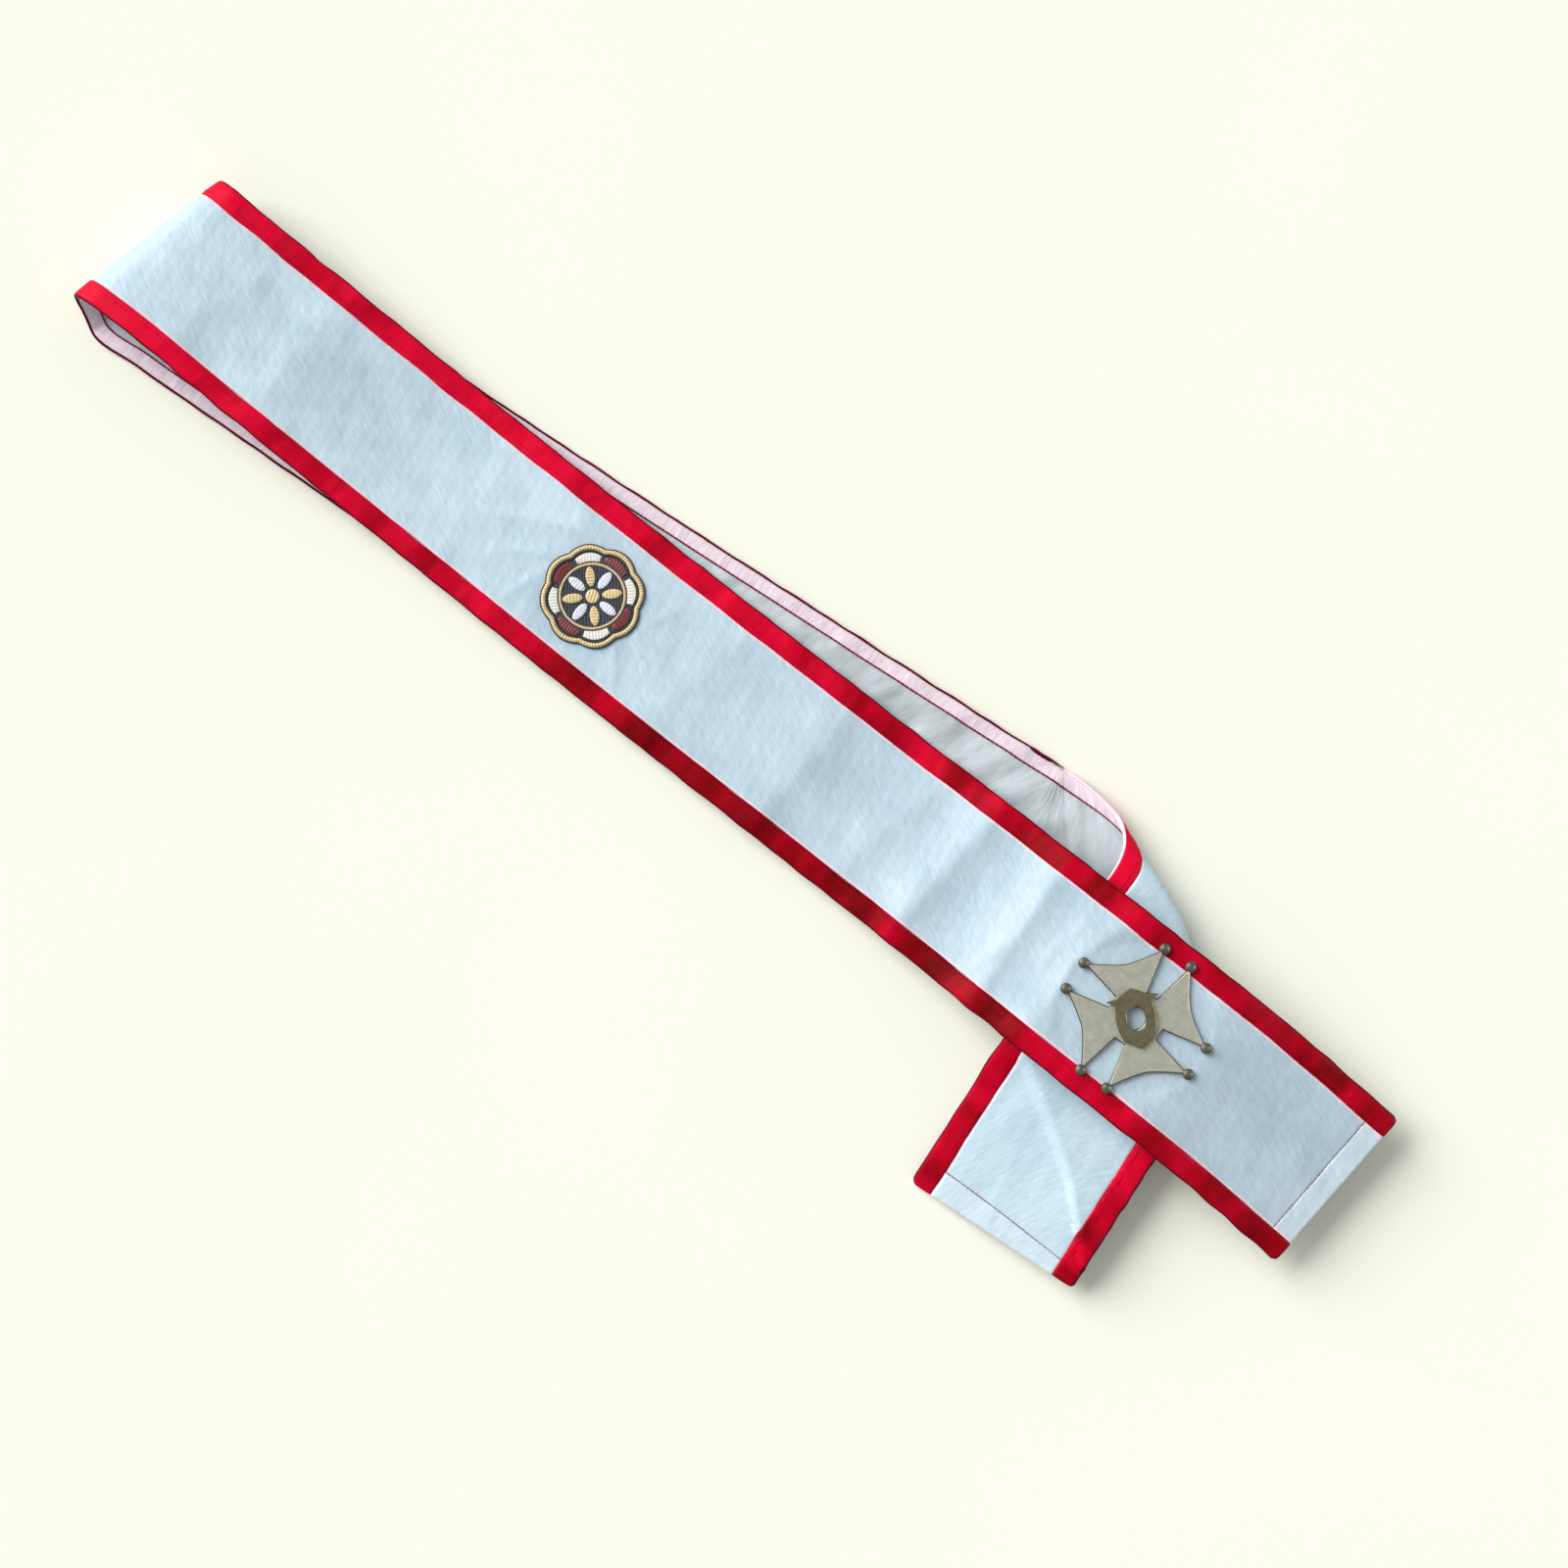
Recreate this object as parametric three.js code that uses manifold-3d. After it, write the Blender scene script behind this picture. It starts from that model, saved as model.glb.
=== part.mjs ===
// A baldric: a long white sash with red ribbon edges, an embroidered patch and a pinned badge.
// It lies on a table, doubled back at a loop and turned once, so that its two ends cross.
// Millimetres, +Z up, the origin in the middle of the footprint, +X along the front run.
import * as THREE from 'three';
import { mergeVertices } from 'three/addons/utils/BufferGeometryUtils.js';
import Module from 'manifold-3d';

const wasm = await Module();
wasm.setup();

// Driving sizes of the cloth
const STRAP_WIDTH = 101.6;
const TRIM_WIDTH = 12.7;
const CLOTH = 1.0;
const GAP = 0.3;
const TRIM_PROUD = 0.15;
const HALF = STRAP_WIDTH / 2;

// Heights of the layers over the middle surface of the strap, face side positive
const FACE_IN = GAP / 2;
const FACE_OUT = FACE_IN + CLOTH;
const TRIM_OUT = FACE_OUT + TRIM_PROUD;
const LINING_IN = -GAP / 2;
const LINING_OUT = LINING_IN - CLOTH;
const TABLE = TRIM_OUT;

// The middle of the footprint, in the axes of the tables below
const CENTRE = { x: -58.37, y: -10.71 };

// Front run, from its free end to the loop: place of the centre line,
// then the height of the middle surface at the lower edge, the middle and the upper edge
const FRONT_COLUMNS = ['x', 'y', 'low', 'mid', 'high'];
const FRONT = [
  [373, 13.5, 17, 17, 18],
  [342, 15.0, 21, 21, 21],
  [306, 16.3, 26, 27, 26],
  [272, 16.5, 31, 31.6, 31],
  [232, 16.4, 33, 33.2, 33],
  [190, 16.5, 31, 32.2, 32.5],
  [153, 17.0, 20, 23, 25],
  [120, 17.5, 11, 14, 16],
  [88, 17.6, 6.5, 8, 9],
  [45, 17.2, 4.5, 4.9, 5.4],
  [0, 16.9, 4.2, 4.4, 4.8],
  [-88, 16.2, 4.2, 4.4, 4.8],
  [-177, 16.0, 4.2, 4.4, 4.8],
  [-245, 16.3, 6, 5.6, 5.2],
  [-300, 16.5, 9.5, 9, 8],
  [-350, 16.7, 14, 14, 13],
  [-400, 17.2, 20, 20, 19],
  [-445, 18.0, 26, 26, 25],
];

// Back run, flat on the table, from the loop to the turn: place of the centre line
const BACK_COLUMNS = ['x', 'y'];
const BACK = [
  [-445, 6.2],
  [-390, 9.8],
  [-336, 13.4],
  [-242, 20.2],
  [-144, 28.4],
  [-33, 38.8],
  [77, 49.3],
  [120, 53.4],
];

// Loop: reach of its top and of its wall, and lift of its wall, at the three stations
// lower edge, middle and upper edge; and the crease where the wall meets the table
const LOOP = {
  top: [58, 46, 32],
  wall: [18, 20, 22],
  lift: [14, 12, 10],
  rise: 3.5,
  spread: 1.5,
  follow: 0.95,
  steps: [0.15, 0.3, 0.42, 0.54, 0.66, 0.8, 0.92, 1],
};
const CREASE = [[-478, -45.2], [-465, 5.6], [-450, 56]];

// Crossing leg: its heading, its far corner at the upper edge, and its slope down to the table
const LEG = { heading: -84, cornerX: 192.4, cornerY: -128, widen: 1.025, top: 24.5, slope: 0.135 };

// Turn: how far before and after the corner it starts and ends, the reach of its bulge low down
// and at its top, and how far the low part has lifted off the table
const TURN = {
  before: [46, 59, 53],
  after: [40, 35, 54],
  lowBulge: [56, 70, 69],
  topBulge: [56, 76, 18],
  lift: [0, 0, 17],
  steps: 10,
  legSteps: [0.35, 0.7, 1],
};

// Badge: a cast cross of four notched arms with ball tips, held by two posts and clutches
const BADGE = {
  x: 231, y: 17.9, turn: 48.5, tip: 40.6, spread: 33, notch: 29.5, dip: 1, pull: 0.62, neck: 15.5,
  thick: 2.4, bevel: 0.6, ball: 3.1, ballFlat: 0.62, holeX: 5, holeY: 6.8, bossThick: 1.6,
};
const POST = { at: 18, radius: 1.2, below: 2.2 };
const CLUTCH = { radius: 5, thick: 1.6, drop: 1.56 };

// Outline of the boss, from its peak down its left side
const BOSS_COLUMNS = ['x', 'y'];
const BOSS = [[0, 15.5], [-5.5, 11.2], [-9.5, 9.6], [-11, 0.8], [-7.9, -9.3], [0, -15.5]];

// Patch: a scalloped disc with a raised rim, petals and eye
const PATCH = {
  x: -150.5, y: 15.2, radius: 30, lobes: 8, lobeSteps: 4, lobeDepth: 2, thick: 1.2, rim: 3.4, rise: 0.8,
  petalAt: 11.5, petalLong: 6, petalWide: 2.9, eye: 4,
};

const MATERIALS = {
  whiteCloth: { color: 0xd5e2ea, roughness: 0.6, metalness: 0 },
  liningCloth: { color: 0xc3c9cd, roughness: 0.75, metalness: 0 },
  redRibbon: { color: 0xc4062e, roughness: 0.5, metalness: 0 },
  embroidery: { color: 0xb48a35, roughness: 0.7, metalness: 0 },
  castMetal: { color: 0xa8a38c, roughness: 0.4, metalness: 1 },
  darkMetal: { color: 0x6e6751, roughness: 0.45, metalness: 1 },
};

const degrees = (angle) => (angle * Math.PI) / 180;
const stations = (count) => Array.from({ length: count + 1 }, (_, i) => (2 * i) / count - 1);
const named = (columns, table) => table.map((row) => Object.fromEntries(row.map((v, i) => [columns[i], v])));

// A value given at the lower edge (-1), the middle (0) and the upper edge (1)
function across([lower, middle, upper], v) {
  return (lower * v * (v - 1)) / 2 + middle * (1 - v * v) + (upper * v * (v + 1)) / 2;
}

function acrossPoint(points, v) {
  const at = (axis) => across(points.map((p) => p[axis]), v);
  return new THREE.Vector3(at('x'), at('y'), at('z'));
}

// Direction of a run at one of its rows, in plan
function headingAt(run, i) {
  const before = run[Math.max(i - 1, 0)];
  const after = run[Math.min(i + 1, run.length - 1)];
  return new THREE.Vector2(after.x - before.x, after.y - before.y).normalize();
}

// The three points of a row: lower edge, middle and upper edge
function rowPoints(row, heading, side) {
  const normal = new THREE.Vector2(-heading.y, heading.x).multiplyScalar(side);
  const reach = HALF * Math.cos(Math.asin((row.high - row.low) / STRAP_WIDTH));
  const edge = (k, z) => new THREE.Vector3(row.x + normal.x * reach * k, row.y + normal.y * reach * k, z);
  return [edge(-1, row.low), edge(0, row.mid), edge(1, row.high)];
}

function bezier(p0, p1, p2, p3, t) {
  return new THREE.CubicBezierCurve3(p0, p1, p2, p3).getPoint(t);
}

// The loop at the far end of the front run, down to the crease on the table
function loopRow(start, crease, t, columns) {
  return columns.map((v, j) => {
    const from = start[j];
    const to = acrossPoint(crease, v);
    const top = from.clone().add(new THREE.Vector3(-across(LOOP.top, v), LOOP.spread * v, LOOP.rise));
    const side = LOOP.follow * (from.y - to.y);
    const wall = to.clone().add(new THREE.Vector3(-across(LOOP.wall, v), side, across(LOOP.lift, v)));
    return bezier(from, top, wall, to, t);
  });
}

// The plan of the turn: where each lengthwise line of the back run meets its line on the leg
function turnPlan(back, columns) {
  const last = back[back.length - 1];
  const into = headingAt(back, back.length - 1);
  const out = new THREE.Vector2(Math.cos(degrees(LEG.heading)), Math.sin(degrees(LEG.heading)));
  const intoNormal = new THREE.Vector2(-into.y, into.x);
  const toLower = new THREE.Vector2(-out.y, out.x);
  const legLine = (v) => toLower.clone().multiplyScalar(HALF * LEG.widen * (1 - v))
    .add(new THREE.Vector2(LEG.cornerX, LEG.cornerY));
  const corners = columns.map((v) => {
    const from = intoNormal.clone().multiplyScalar(v * HALF).add(new THREE.Vector2(last.x, last.y));
    const gap = legLine(v).sub(from);
    return from.addScaledVector(into, gap.cross(out) / into.cross(out));
  });
  const fold = corners[0].clone().sub(corners[corners.length - 1]).normalize();
  const away = new THREE.Vector2(fold.y, -fold.x);
  const upper = corners[corners.length - 1];
  const height = (p) => LEG.top - p.clone().sub(upper).dot(away) * LEG.slope;
  const onLeg = (p) => new THREE.Vector3(p.x, p.y, height(p));
  return { into, out, corners, legLine, onLeg };
}

// One row of the turn: the strap rolls up and over into the leg
function turnRow(plan, t, columns) {
  return columns.map((v, j) => {
    const corner = plan.corners[j];
    const low = across(TURN.lowBulge, v);
    const start = corner.clone().addScaledVector(plan.into, -across(TURN.before, v));
    const end = corner.clone().addScaledVector(plan.out, across(TURN.after, v));
    const p0 = new THREE.Vector3(start.x, start.y, TABLE);
    const p1 = p0.clone().add(new THREE.Vector3(plan.into.x * low, plan.into.y * low, across(TURN.lift, v)));
    const p2 = plan.onLeg(end.clone().addScaledVector(plan.out, -across(TURN.topBulge, v)));
    return bezier(p0, p1, p2, plan.onLeg(end), t);
  });
}

// All rows of the strap's middle surface, from the front end to the crossing end
function strapRows(columns) {
  const front = named(FRONT_COLUMNS, FRONT);
  const back = named(BACK_COLUMNS, BACK).map((row) => ({ ...row, low: TABLE, mid: TABLE, high: TABLE }));
  const rows = front.map((row, i) => {
    const points = rowPoints(row, headingAt(front, i), -1);
    return columns.map((v) => acrossPoint(points, v));
  });
  const loopStart = rows[rows.length - 1];
  const crease = CREASE.map(([x, y]) => new THREE.Vector3(x, y, TABLE));
  LOOP.steps.forEach((t) => rows.push(loopRow(loopStart, crease, t, columns)));
  back.forEach((row, i) => {
    const points = rowPoints(row, headingAt(back, i), 1);
    rows.push(columns.map((v) => acrossPoint(points, v)));
  });
  const plan = turnPlan(back, columns);
  for (let i = 0; i <= TURN.steps; i += 1) {
    rows.push(turnRow(plan, i / TURN.steps, columns));
  }
  const legStart = rows[rows.length - 1];
  TURN.legSteps.forEach((t) => {
    rows.push(columns.map((v, j) => legStart[j].clone().lerp(plan.onLeg(plan.legLine(v)), t)));
  });
  return rows;
}

// Smooth rows between the given ones, by Hermite curves through them
function slope(rows, i, j) {
  const here = rows[i][j];
  if (i === 0) return rows[1][j].clone().sub(here).normalize();
  if (i === rows.length - 1) return here.clone().sub(rows[i - 1][j]).normalize();
  const before = here.clone().sub(rows[i - 1][j]);
  const after = rows[i + 1][j].clone().sub(here);
  const back = before.length();
  const forth = after.length();
  return before.multiplyScalar(forth / back).add(after.multiplyScalar(back / forth)).divideScalar(back + forth);
}

function smoothRows(rows, parts) {
  const result = [];
  for (let i = 0; i < rows.length - 1; i += 1) {
    for (let k = 0; k < parts; k += 1) {
      const t = k / parts;
      result.push(rows[i].map((here, j) => {
        const next = rows[i + 1][j];
        const span = here.distanceTo(next);
        const point = here.clone().multiplyScalar(2 * t ** 3 - 3 * t ** 2 + 1)
          .addScaledVector(slope(rows, i, j), span * (t ** 3 - 2 * t ** 2 + t))
          .addScaledVector(next, -2 * t ** 3 + 3 * t ** 2)
          .addScaledVector(slope(rows, i + 1, j), span * (t ** 3 - t ** 2));
        return point.setZ(Math.max(point.z, TABLE));
      }));
    }
  }
  result.push(rows[rows.length - 1]);
  return result;
}

// Face normals of the middle surface at every grid point
function gridNormals(rows) {
  return rows.map((row, i) => row.map((_, j) => {
    const along = rows[Math.min(i + 1, rows.length - 1)][j].clone().sub(rows[Math.max(i - 1, 0)][j]);
    const over = row[Math.min(j + 1, row.length - 1)].clone().sub(row[Math.max(j - 1, 0)]);
    return over.cross(along).normalize();
  }));
}

const CROSS_STEPS = 16;
const CLOTH_STEPS = 6;
const COLUMNS = stations(CROSS_STEPS);
const SURFACE = smoothRows(strapRows(COLUMNS), 2);
const NORMALS = gridNormals(SURFACE);

// A point of the cloth: row i, v millimetres from the centre line, n over the middle surface
function clothPoint(i, v, n) {
  const place = ((v / HALF + 1) / 2) * CROSS_STEPS;
  const j = Math.min(Math.max(Math.floor(place), 0), CROSS_STEPS - 1);
  const t = place - j;
  const point = SURFACE[i][j].clone().lerp(SURFACE[i][j + 1], t);
  return point.addScaledVector(NORMALS[i][j].clone().lerp(NORMALS[i][j + 1], t).normalize(), n);
}

// A closed slab along the whole strap: columns of a top point and a bottom point, each [v, n]
function clothSlab(section) {
  const rows = SURFACE.length;
  const count = section.length;
  const positions = [];
  for (let i = 0; i < rows; i += 1) {
    section.forEach(({ top }) => positions.push(...clothPoint(i, ...top).toArray()));
    section.forEach(({ bottom }) => positions.push(...clothPoint(i, ...bottom).toArray()));
  }
  const top = (i, j) => i * 2 * count + j;
  const bottom = (i, j) => top(i, j) + count;
  const faces = [];
  const quad = (a, b, c, d) => faces.push(a, b, c, a, c, d);
  for (let i = 0; i < rows - 1; i += 1) {
    for (let j = 0; j < count - 1; j += 1) {
      quad(top(i, j), top(i, j + 1), top(i + 1, j + 1), top(i + 1, j));
      quad(bottom(i, j), bottom(i + 1, j), bottom(i + 1, j + 1), bottom(i, j + 1));
    }
    quad(top(i, 0), top(i + 1, 0), bottom(i + 1, 0), bottom(i, 0));
    quad(top(i, count - 1), bottom(i, count - 1), bottom(i + 1, count - 1), top(i + 1, count - 1));
  }
  for (let j = 0; j < count - 1; j += 1) {
    quad(top(0, j), bottom(0, j), bottom(0, j + 1), top(0, j + 1));
    quad(top(rows - 1, j), top(rows - 1, j + 1), bottom(rows - 1, j + 1), bottom(rows - 1, j));
  }
  const geometry = new THREE.BufferGeometry();
  geometry.setAttribute('position', new THREE.Float32BufferAttribute(positions, 3));
  geometry.setIndex(faces);
  return geometry;
}

function flatSection(columns, outer, inner) {
  return columns.map((v) => ({ top: [v, outer], bottom: [v, inner] }));
}

// A ribbon that lies beside the face cloth and wraps round the edge, down to the lining's back
const LIP = 0.7;

function trimSection(side) {
  const inner = HALF - TRIM_WIDTH;
  const lip = HALF - LIP;
  const columns = [
    { top: [inner, TRIM_OUT], bottom: [inner, FACE_IN] },
    { top: [lip - 1, TRIM_OUT], bottom: [lip, FACE_IN] },
    { top: [HALF - 0.3, TRIM_OUT], bottom: [lip, LINING_OUT] },
    { top: [HALF, FACE_OUT - 0.2], bottom: [HALF, LINING_OUT] },
  ];
  if (side > 0) return columns;
  return columns.map(({ top, bottom }) => ({ top: [-top[0], top[1]], bottom: [-bottom[0], bottom[1]] })).reverse();
}

function toSolid(geometry) {
  const bare = geometry.clone();
  bare.deleteAttribute('normal');
  bare.deleteAttribute('uv');
  const merged = mergeVertices(bare, 1e-4);
  const corners = merged.index.array;
  const faces = [];
  for (let i = 0; i < corners.length; i += 3) {
    const [a, b, c] = corners.slice(i, i + 3);
    if (a !== b && b !== c && c !== a) faces.push(a, b, c);
  }
  return new wasm.Manifold(new wasm.Mesh({
    numProp: 3,
    vertProperties: new Float32Array(merged.attributes.position.array),
    triVerts: new Uint32Array(faces),
  }));
}

function toGeometry(solid) {
  const mesh = solid.getMesh();
  const geometry = new THREE.BufferGeometry();
  geometry.setAttribute('position', new THREE.BufferAttribute(new Float32Array(mesh.vertProperties), 3));
  geometry.setIndex(new THREE.BufferAttribute(new Uint32Array(mesh.triVerts), 1));
  return geometry;
}

// The face of the front run near a plan point: its height and the plane that lies on it
function frontPlane(x, y, reach) {
  const samples = [];
  SURFACE.forEach((row, i) => row.forEach((p, j) => {
    const near = NORMALS[i][j].z > 0.5 && Math.hypot(p.x - x, p.y - y) < reach;
    if (near && i < 2 * FRONT.length) samples.push(p.clone().addScaledVector(NORMALS[i][j], FACE_OUT));
  }));
  const mean = (pick) => samples.reduce((sum, p) => sum + pick(p), 0) / samples.length;
  const mx = mean((p) => p.x);
  const my = mean((p) => p.y);
  const mz = mean((p) => p.z);
  const slopeX = mean((p) => (p.x - mx) * (p.z - mz)) / mean((p) => (p.x - mx) ** 2);
  const slopeY = mean((p) => (p.y - my) * (p.z - mz)) / mean((p) => (p.y - my) ** 2);
  const level = (p) => mz + slopeX * (p.x - mx) + slopeY * (p.y - my);
  const proud = Math.max(...samples.map((p) => p.z - level(p)));
  const normal = new THREE.Vector3(-slopeX, -slopeY, 1).normalize();
  return { origin: new THREE.Vector3(x, y, level({ x, y }) + proud + GAP), normal };
}

function onPlane(geometry, plane) {
  const turn = new THREE.Quaternion().setFromUnitVectors(new THREE.Vector3(0, 0, 1), plane.normal);
  return geometry.applyQuaternion(turn).translate(plane.origin.x, plane.origin.y, plane.origin.z);
}

const polar = (radius, angle) => new THREE.Vector2(
  radius * Math.cos(degrees(angle)), radius * Math.sin(degrees(angle)));

// Outline of the cross: each arm is a sector with straight sides, a ball tip at each corner
// and a shallow notch in its outer end
function crossOutline() {
  const shape = new THREE.Shape();
  for (let arm = 0; arm < 4; arm += 1) {
    const middle = BADGE.turn + 90 * arm;
    const neck = polar(BADGE.neck, middle - BADGE.spread);
    const first = polar(BADGE.tip, middle - BADGE.spread);
    const notch = polar(BADGE.notch, middle);
    const second = polar(BADGE.tip, middle + BADGE.spread);
    const nextNeck = polar(BADGE.neck, middle + BADGE.spread);
    const dip = polar(BADGE.dip, middle);
    const into = first.clone().lerp(notch, BADGE.pull).sub(dip);
    const outward = second.clone().lerp(notch, BADGE.pull).sub(dip);
    if (arm === 0) shape.moveTo(neck.x, neck.y);
    else shape.lineTo(neck.x, neck.y);
    shape.lineTo(first.x, first.y);
    shape.quadraticCurveTo(into.x, into.y, notch.x, notch.y);
    shape.quadraticCurveTo(outward.x, outward.y, second.x, second.y);
    shape.lineTo(nextNeck.x, nextNeck.y);
  }
  shape.closePath();
  return shape;
}

function centreHole() {
  const sides = 18;
  const corner = (i) => (-2 * Math.PI * i) / sides;
  const points = Array.from({ length: sides }, (_, i) => new THREE.Vector2(
    BADGE.holeX * Math.cos(corner(i)), BADGE.holeY * Math.sin(corner(i))));
  return new THREE.Path(points);
}

function postPlaces() {
  return [0, 2].map((arm) => polar(POST.at, BADGE.turn + 90 * (arm + 1)));
}

function badgeCross() {
  const shape = crossOutline();
  shape.holes.push(centreHole());
  const plate = new THREE.ExtrudeGeometry(shape, {
    depth: BADGE.thick - BADGE.bevel, bevelThickness: BADGE.bevel, bevelSize: BADGE.bevel,
    bevelOffset: -BADGE.bevel, bevelSegments: 1, curveSegments: 3,
  });
  let solid = toSolid(plate);
  solid = solid.trimByPlane([0, 0, 1], 0);
  for (let arm = 0; arm < 4; arm += 1) {
    [-1, 1].forEach((side) => {
      const place = polar(BADGE.tip, BADGE.turn + 90 * arm + side * BADGE.spread);
      const ball = new THREE.SphereGeometry(BADGE.ball, 10, 5);
      ball.rotateX(Math.PI / 2);
      ball.scale(1, 1, BADGE.ballFlat);
      ball.translate(place.x, place.y, BADGE.ball * BADGE.ballFlat);
      solid = solid.add(toSolid(ball));
    });
  }
  const length = BADGE.thick / 2 + 2 * GAP + FACE_OUT - LINING_OUT + POST.below;
  postPlaces().forEach((place) => {
    const post = new THREE.CylinderGeometry(POST.radius, POST.radius, length, 12);
    post.rotateX(Math.PI / 2);
    post.translate(place.x, place.y, BADGE.thick / 2 - length / 2);
    solid = solid.add(toSolid(post));
  });
  return toGeometry(solid);
}

// The boss: a raised shield-like hexagon with peaks at its top and bottom and a hole
function badgeBoss() {
  const left = named(BOSS_COLUMNS, BOSS).map(({ x, y }) => new THREE.Vector2(x, y));
  const right = left.slice(1, -1).reverse().map(({ x, y }) => new THREE.Vector2(-x, y));
  const shape = new THREE.Shape([...left, ...right]);
  shape.holes.push(centreHole());
  const boss = new THREE.ExtrudeGeometry(shape, {
    depth: BADGE.bossThick - BADGE.bevel, bevelThickness: BADGE.bevel, bevelSize: BADGE.bevel,
    bevelOffset: -BADGE.bevel, bevelSegments: 1, curveSegments: 4,
  });
  boss.rotateZ(degrees(BADGE.turn));
  return toGeometry(toSolid(boss).trimByPlane([0, 0, 1], 0)).translate(0, 0, BADGE.thick + GAP);
}

function badgeClutch(place) {
  const ring = new THREE.Shape().absarc(0, 0, CLUTCH.radius, 0, 2 * Math.PI, false);
  ring.holes.push(new THREE.Path().absarc(0, 0, POST.radius + GAP, 0, 2 * Math.PI, true));
  const clutch = new THREE.ExtrudeGeometry(ring, { depth: CLUTCH.thick, bevelEnabled: false, curveSegments: 10 });
  return clutch.translate(place.x, place.y, LINING_OUT - FACE_OUT - CLUTCH.thick - CLUTCH.drop);
}

// The patch: a scalloped disc with a raised rim and a raised rosette of petals
function scallop(radius, depth) {
  const points = [];
  const count = PATCH.lobes * PATCH.lobeSteps;
  for (let i = 0; i < count; i += 1) {
    const angle = (i / count) * 2 * Math.PI;
    const r = radius - depth * (1 - Math.abs(Math.cos((PATCH.lobes * angle) / 2)));
    points.push(new THREE.Vector2(r * Math.cos(angle), r * Math.sin(angle)));
  }
  return new THREE.Shape(points);
}

function patchSolid() {
  const flat = { depth: PATCH.thick, bevelEnabled: false };
  const base = toSolid(new THREE.ExtrudeGeometry(scallop(PATCH.radius, PATCH.lobeDepth), flat));
  const tall = { depth: PATCH.thick + PATCH.rise, bevelEnabled: false };
  const ring = scallop(PATCH.radius, PATCH.lobeDepth);
  ring.holes.push(new THREE.Path(scallop(PATCH.radius - PATCH.rim, PATCH.lobeDepth).getPoints().reverse()));
  let solid = base.add(toSolid(new THREE.ExtrudeGeometry(ring, tall)));
  for (let i = 0; i < PATCH.lobes; i += 1) {
    const petal = new THREE.Shape();
    petal.absellipse(PATCH.petalAt, 0, PATCH.petalLong, PATCH.petalWide, 0, 2 * Math.PI, false, 0);
    const raised = new THREE.ExtrudeGeometry(petal, { ...tall, curveSegments: 6 });
    raised.rotateZ((i / PATCH.lobes) * 2 * Math.PI);
    solid = solid.add(toSolid(raised));
  }
  const eye = new THREE.CylinderGeometry(PATCH.eye, PATCH.eye, PATCH.thick + PATCH.rise, 16);
  eye.rotateX(Math.PI / 2);
  eye.translate(0, 0, (PATCH.thick + PATCH.rise) / 2);
  return toGeometry(solid.add(toSolid(eye)));
}

// Holes for the posts through a cloth layer
const DRILL = 14;

function pierced(geometry, plane) {
  let solid = toSolid(geometry);
  postPlaces().forEach((place) => {
    const drill = new THREE.CylinderGeometry(POST.radius + GAP, POST.radius + GAP, DRILL, 12);
    drill.rotateX(Math.PI / 2);
    drill.translate(place.x, place.y, 0);
    solid = solid.subtract(toSolid(onPlane(drill, plane)));
  });
  return toGeometry(solid);
}

const group = new THREE.Group();

function addPiece(name, geometry, look) {
  const mesh = new THREE.Mesh(geometry, new THREE.MeshStandardMaterial(MATERIALS[look]));
  geometry.computeVertexNormals();
  mesh.name = name;
  group.add(mesh);
}

const badgePlane = frontPlane(BADGE.x, BADGE.y, BADGE.tip);
const patchPlane = frontPlane(PATCH.x, PATCH.y, 60);
const faceHalf = HALF - TRIM_WIDTH - GAP;
const liningHalf = HALF - LIP - GAP;
const faceColumns = stations(CLOTH_STEPS).map((v) => v * faceHalf);
const liningColumns = [-liningHalf, ...faceColumns, liningHalf];
const face = clothSlab(flatSection(faceColumns, FACE_OUT, FACE_IN));
const back = clothSlab(flatSection(liningColumns, LINING_IN, LINING_OUT));
addPiece('band', pierced(face, badgePlane), 'whiteCloth');
addPiece('lining', pierced(back, badgePlane), 'liningCloth');
addPiece('lower_trim', clothSlab(trimSection(-1)), 'redRibbon');
addPiece('upper_trim', clothSlab(trimSection(1)), 'redRibbon');
addPiece('patch', onPlane(patchSolid(), patchPlane), 'embroidery');
addPiece('badge_cross', onPlane(badgeCross(), badgePlane), 'castMetal');
addPiece('badge_boss', onPlane(badgeBoss(), badgePlane), 'darkMetal');
postPlaces().forEach((place, i) => {
  addPiece(i === 0 ? 'badge_clutch_left' : 'badge_clutch_right', onPlane(badgeClutch(place), badgePlane), 'castMetal');
});
group.position.set(-CENTRE.x, -CENTRE.y, 0);

export default group;
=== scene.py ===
"""Looks of a baldric: a long white sash with red ribbon edges, an embroidered patch and a pinned
badge. It lies on a pale table, doubled back at a loop and turned once, so that its ends cross.

The tables are in millimetres in the axes of the front run; places() turns them into the frame's metres.
"""

import math

import bmesh
import bpy
import numpy as np
from mathutils import Matrix, Vector


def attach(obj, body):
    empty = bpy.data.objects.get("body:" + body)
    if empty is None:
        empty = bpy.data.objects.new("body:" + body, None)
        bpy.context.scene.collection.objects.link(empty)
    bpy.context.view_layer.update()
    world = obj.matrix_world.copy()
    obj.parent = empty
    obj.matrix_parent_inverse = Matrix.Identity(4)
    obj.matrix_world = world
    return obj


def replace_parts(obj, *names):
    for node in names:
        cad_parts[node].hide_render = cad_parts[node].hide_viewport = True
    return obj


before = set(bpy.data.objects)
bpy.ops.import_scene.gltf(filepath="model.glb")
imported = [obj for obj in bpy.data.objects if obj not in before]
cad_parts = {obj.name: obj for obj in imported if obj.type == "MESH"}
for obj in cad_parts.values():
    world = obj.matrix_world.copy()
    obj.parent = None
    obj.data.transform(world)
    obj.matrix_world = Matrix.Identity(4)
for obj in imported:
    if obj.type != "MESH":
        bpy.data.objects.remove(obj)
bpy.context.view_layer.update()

MM = 0.001

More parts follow.
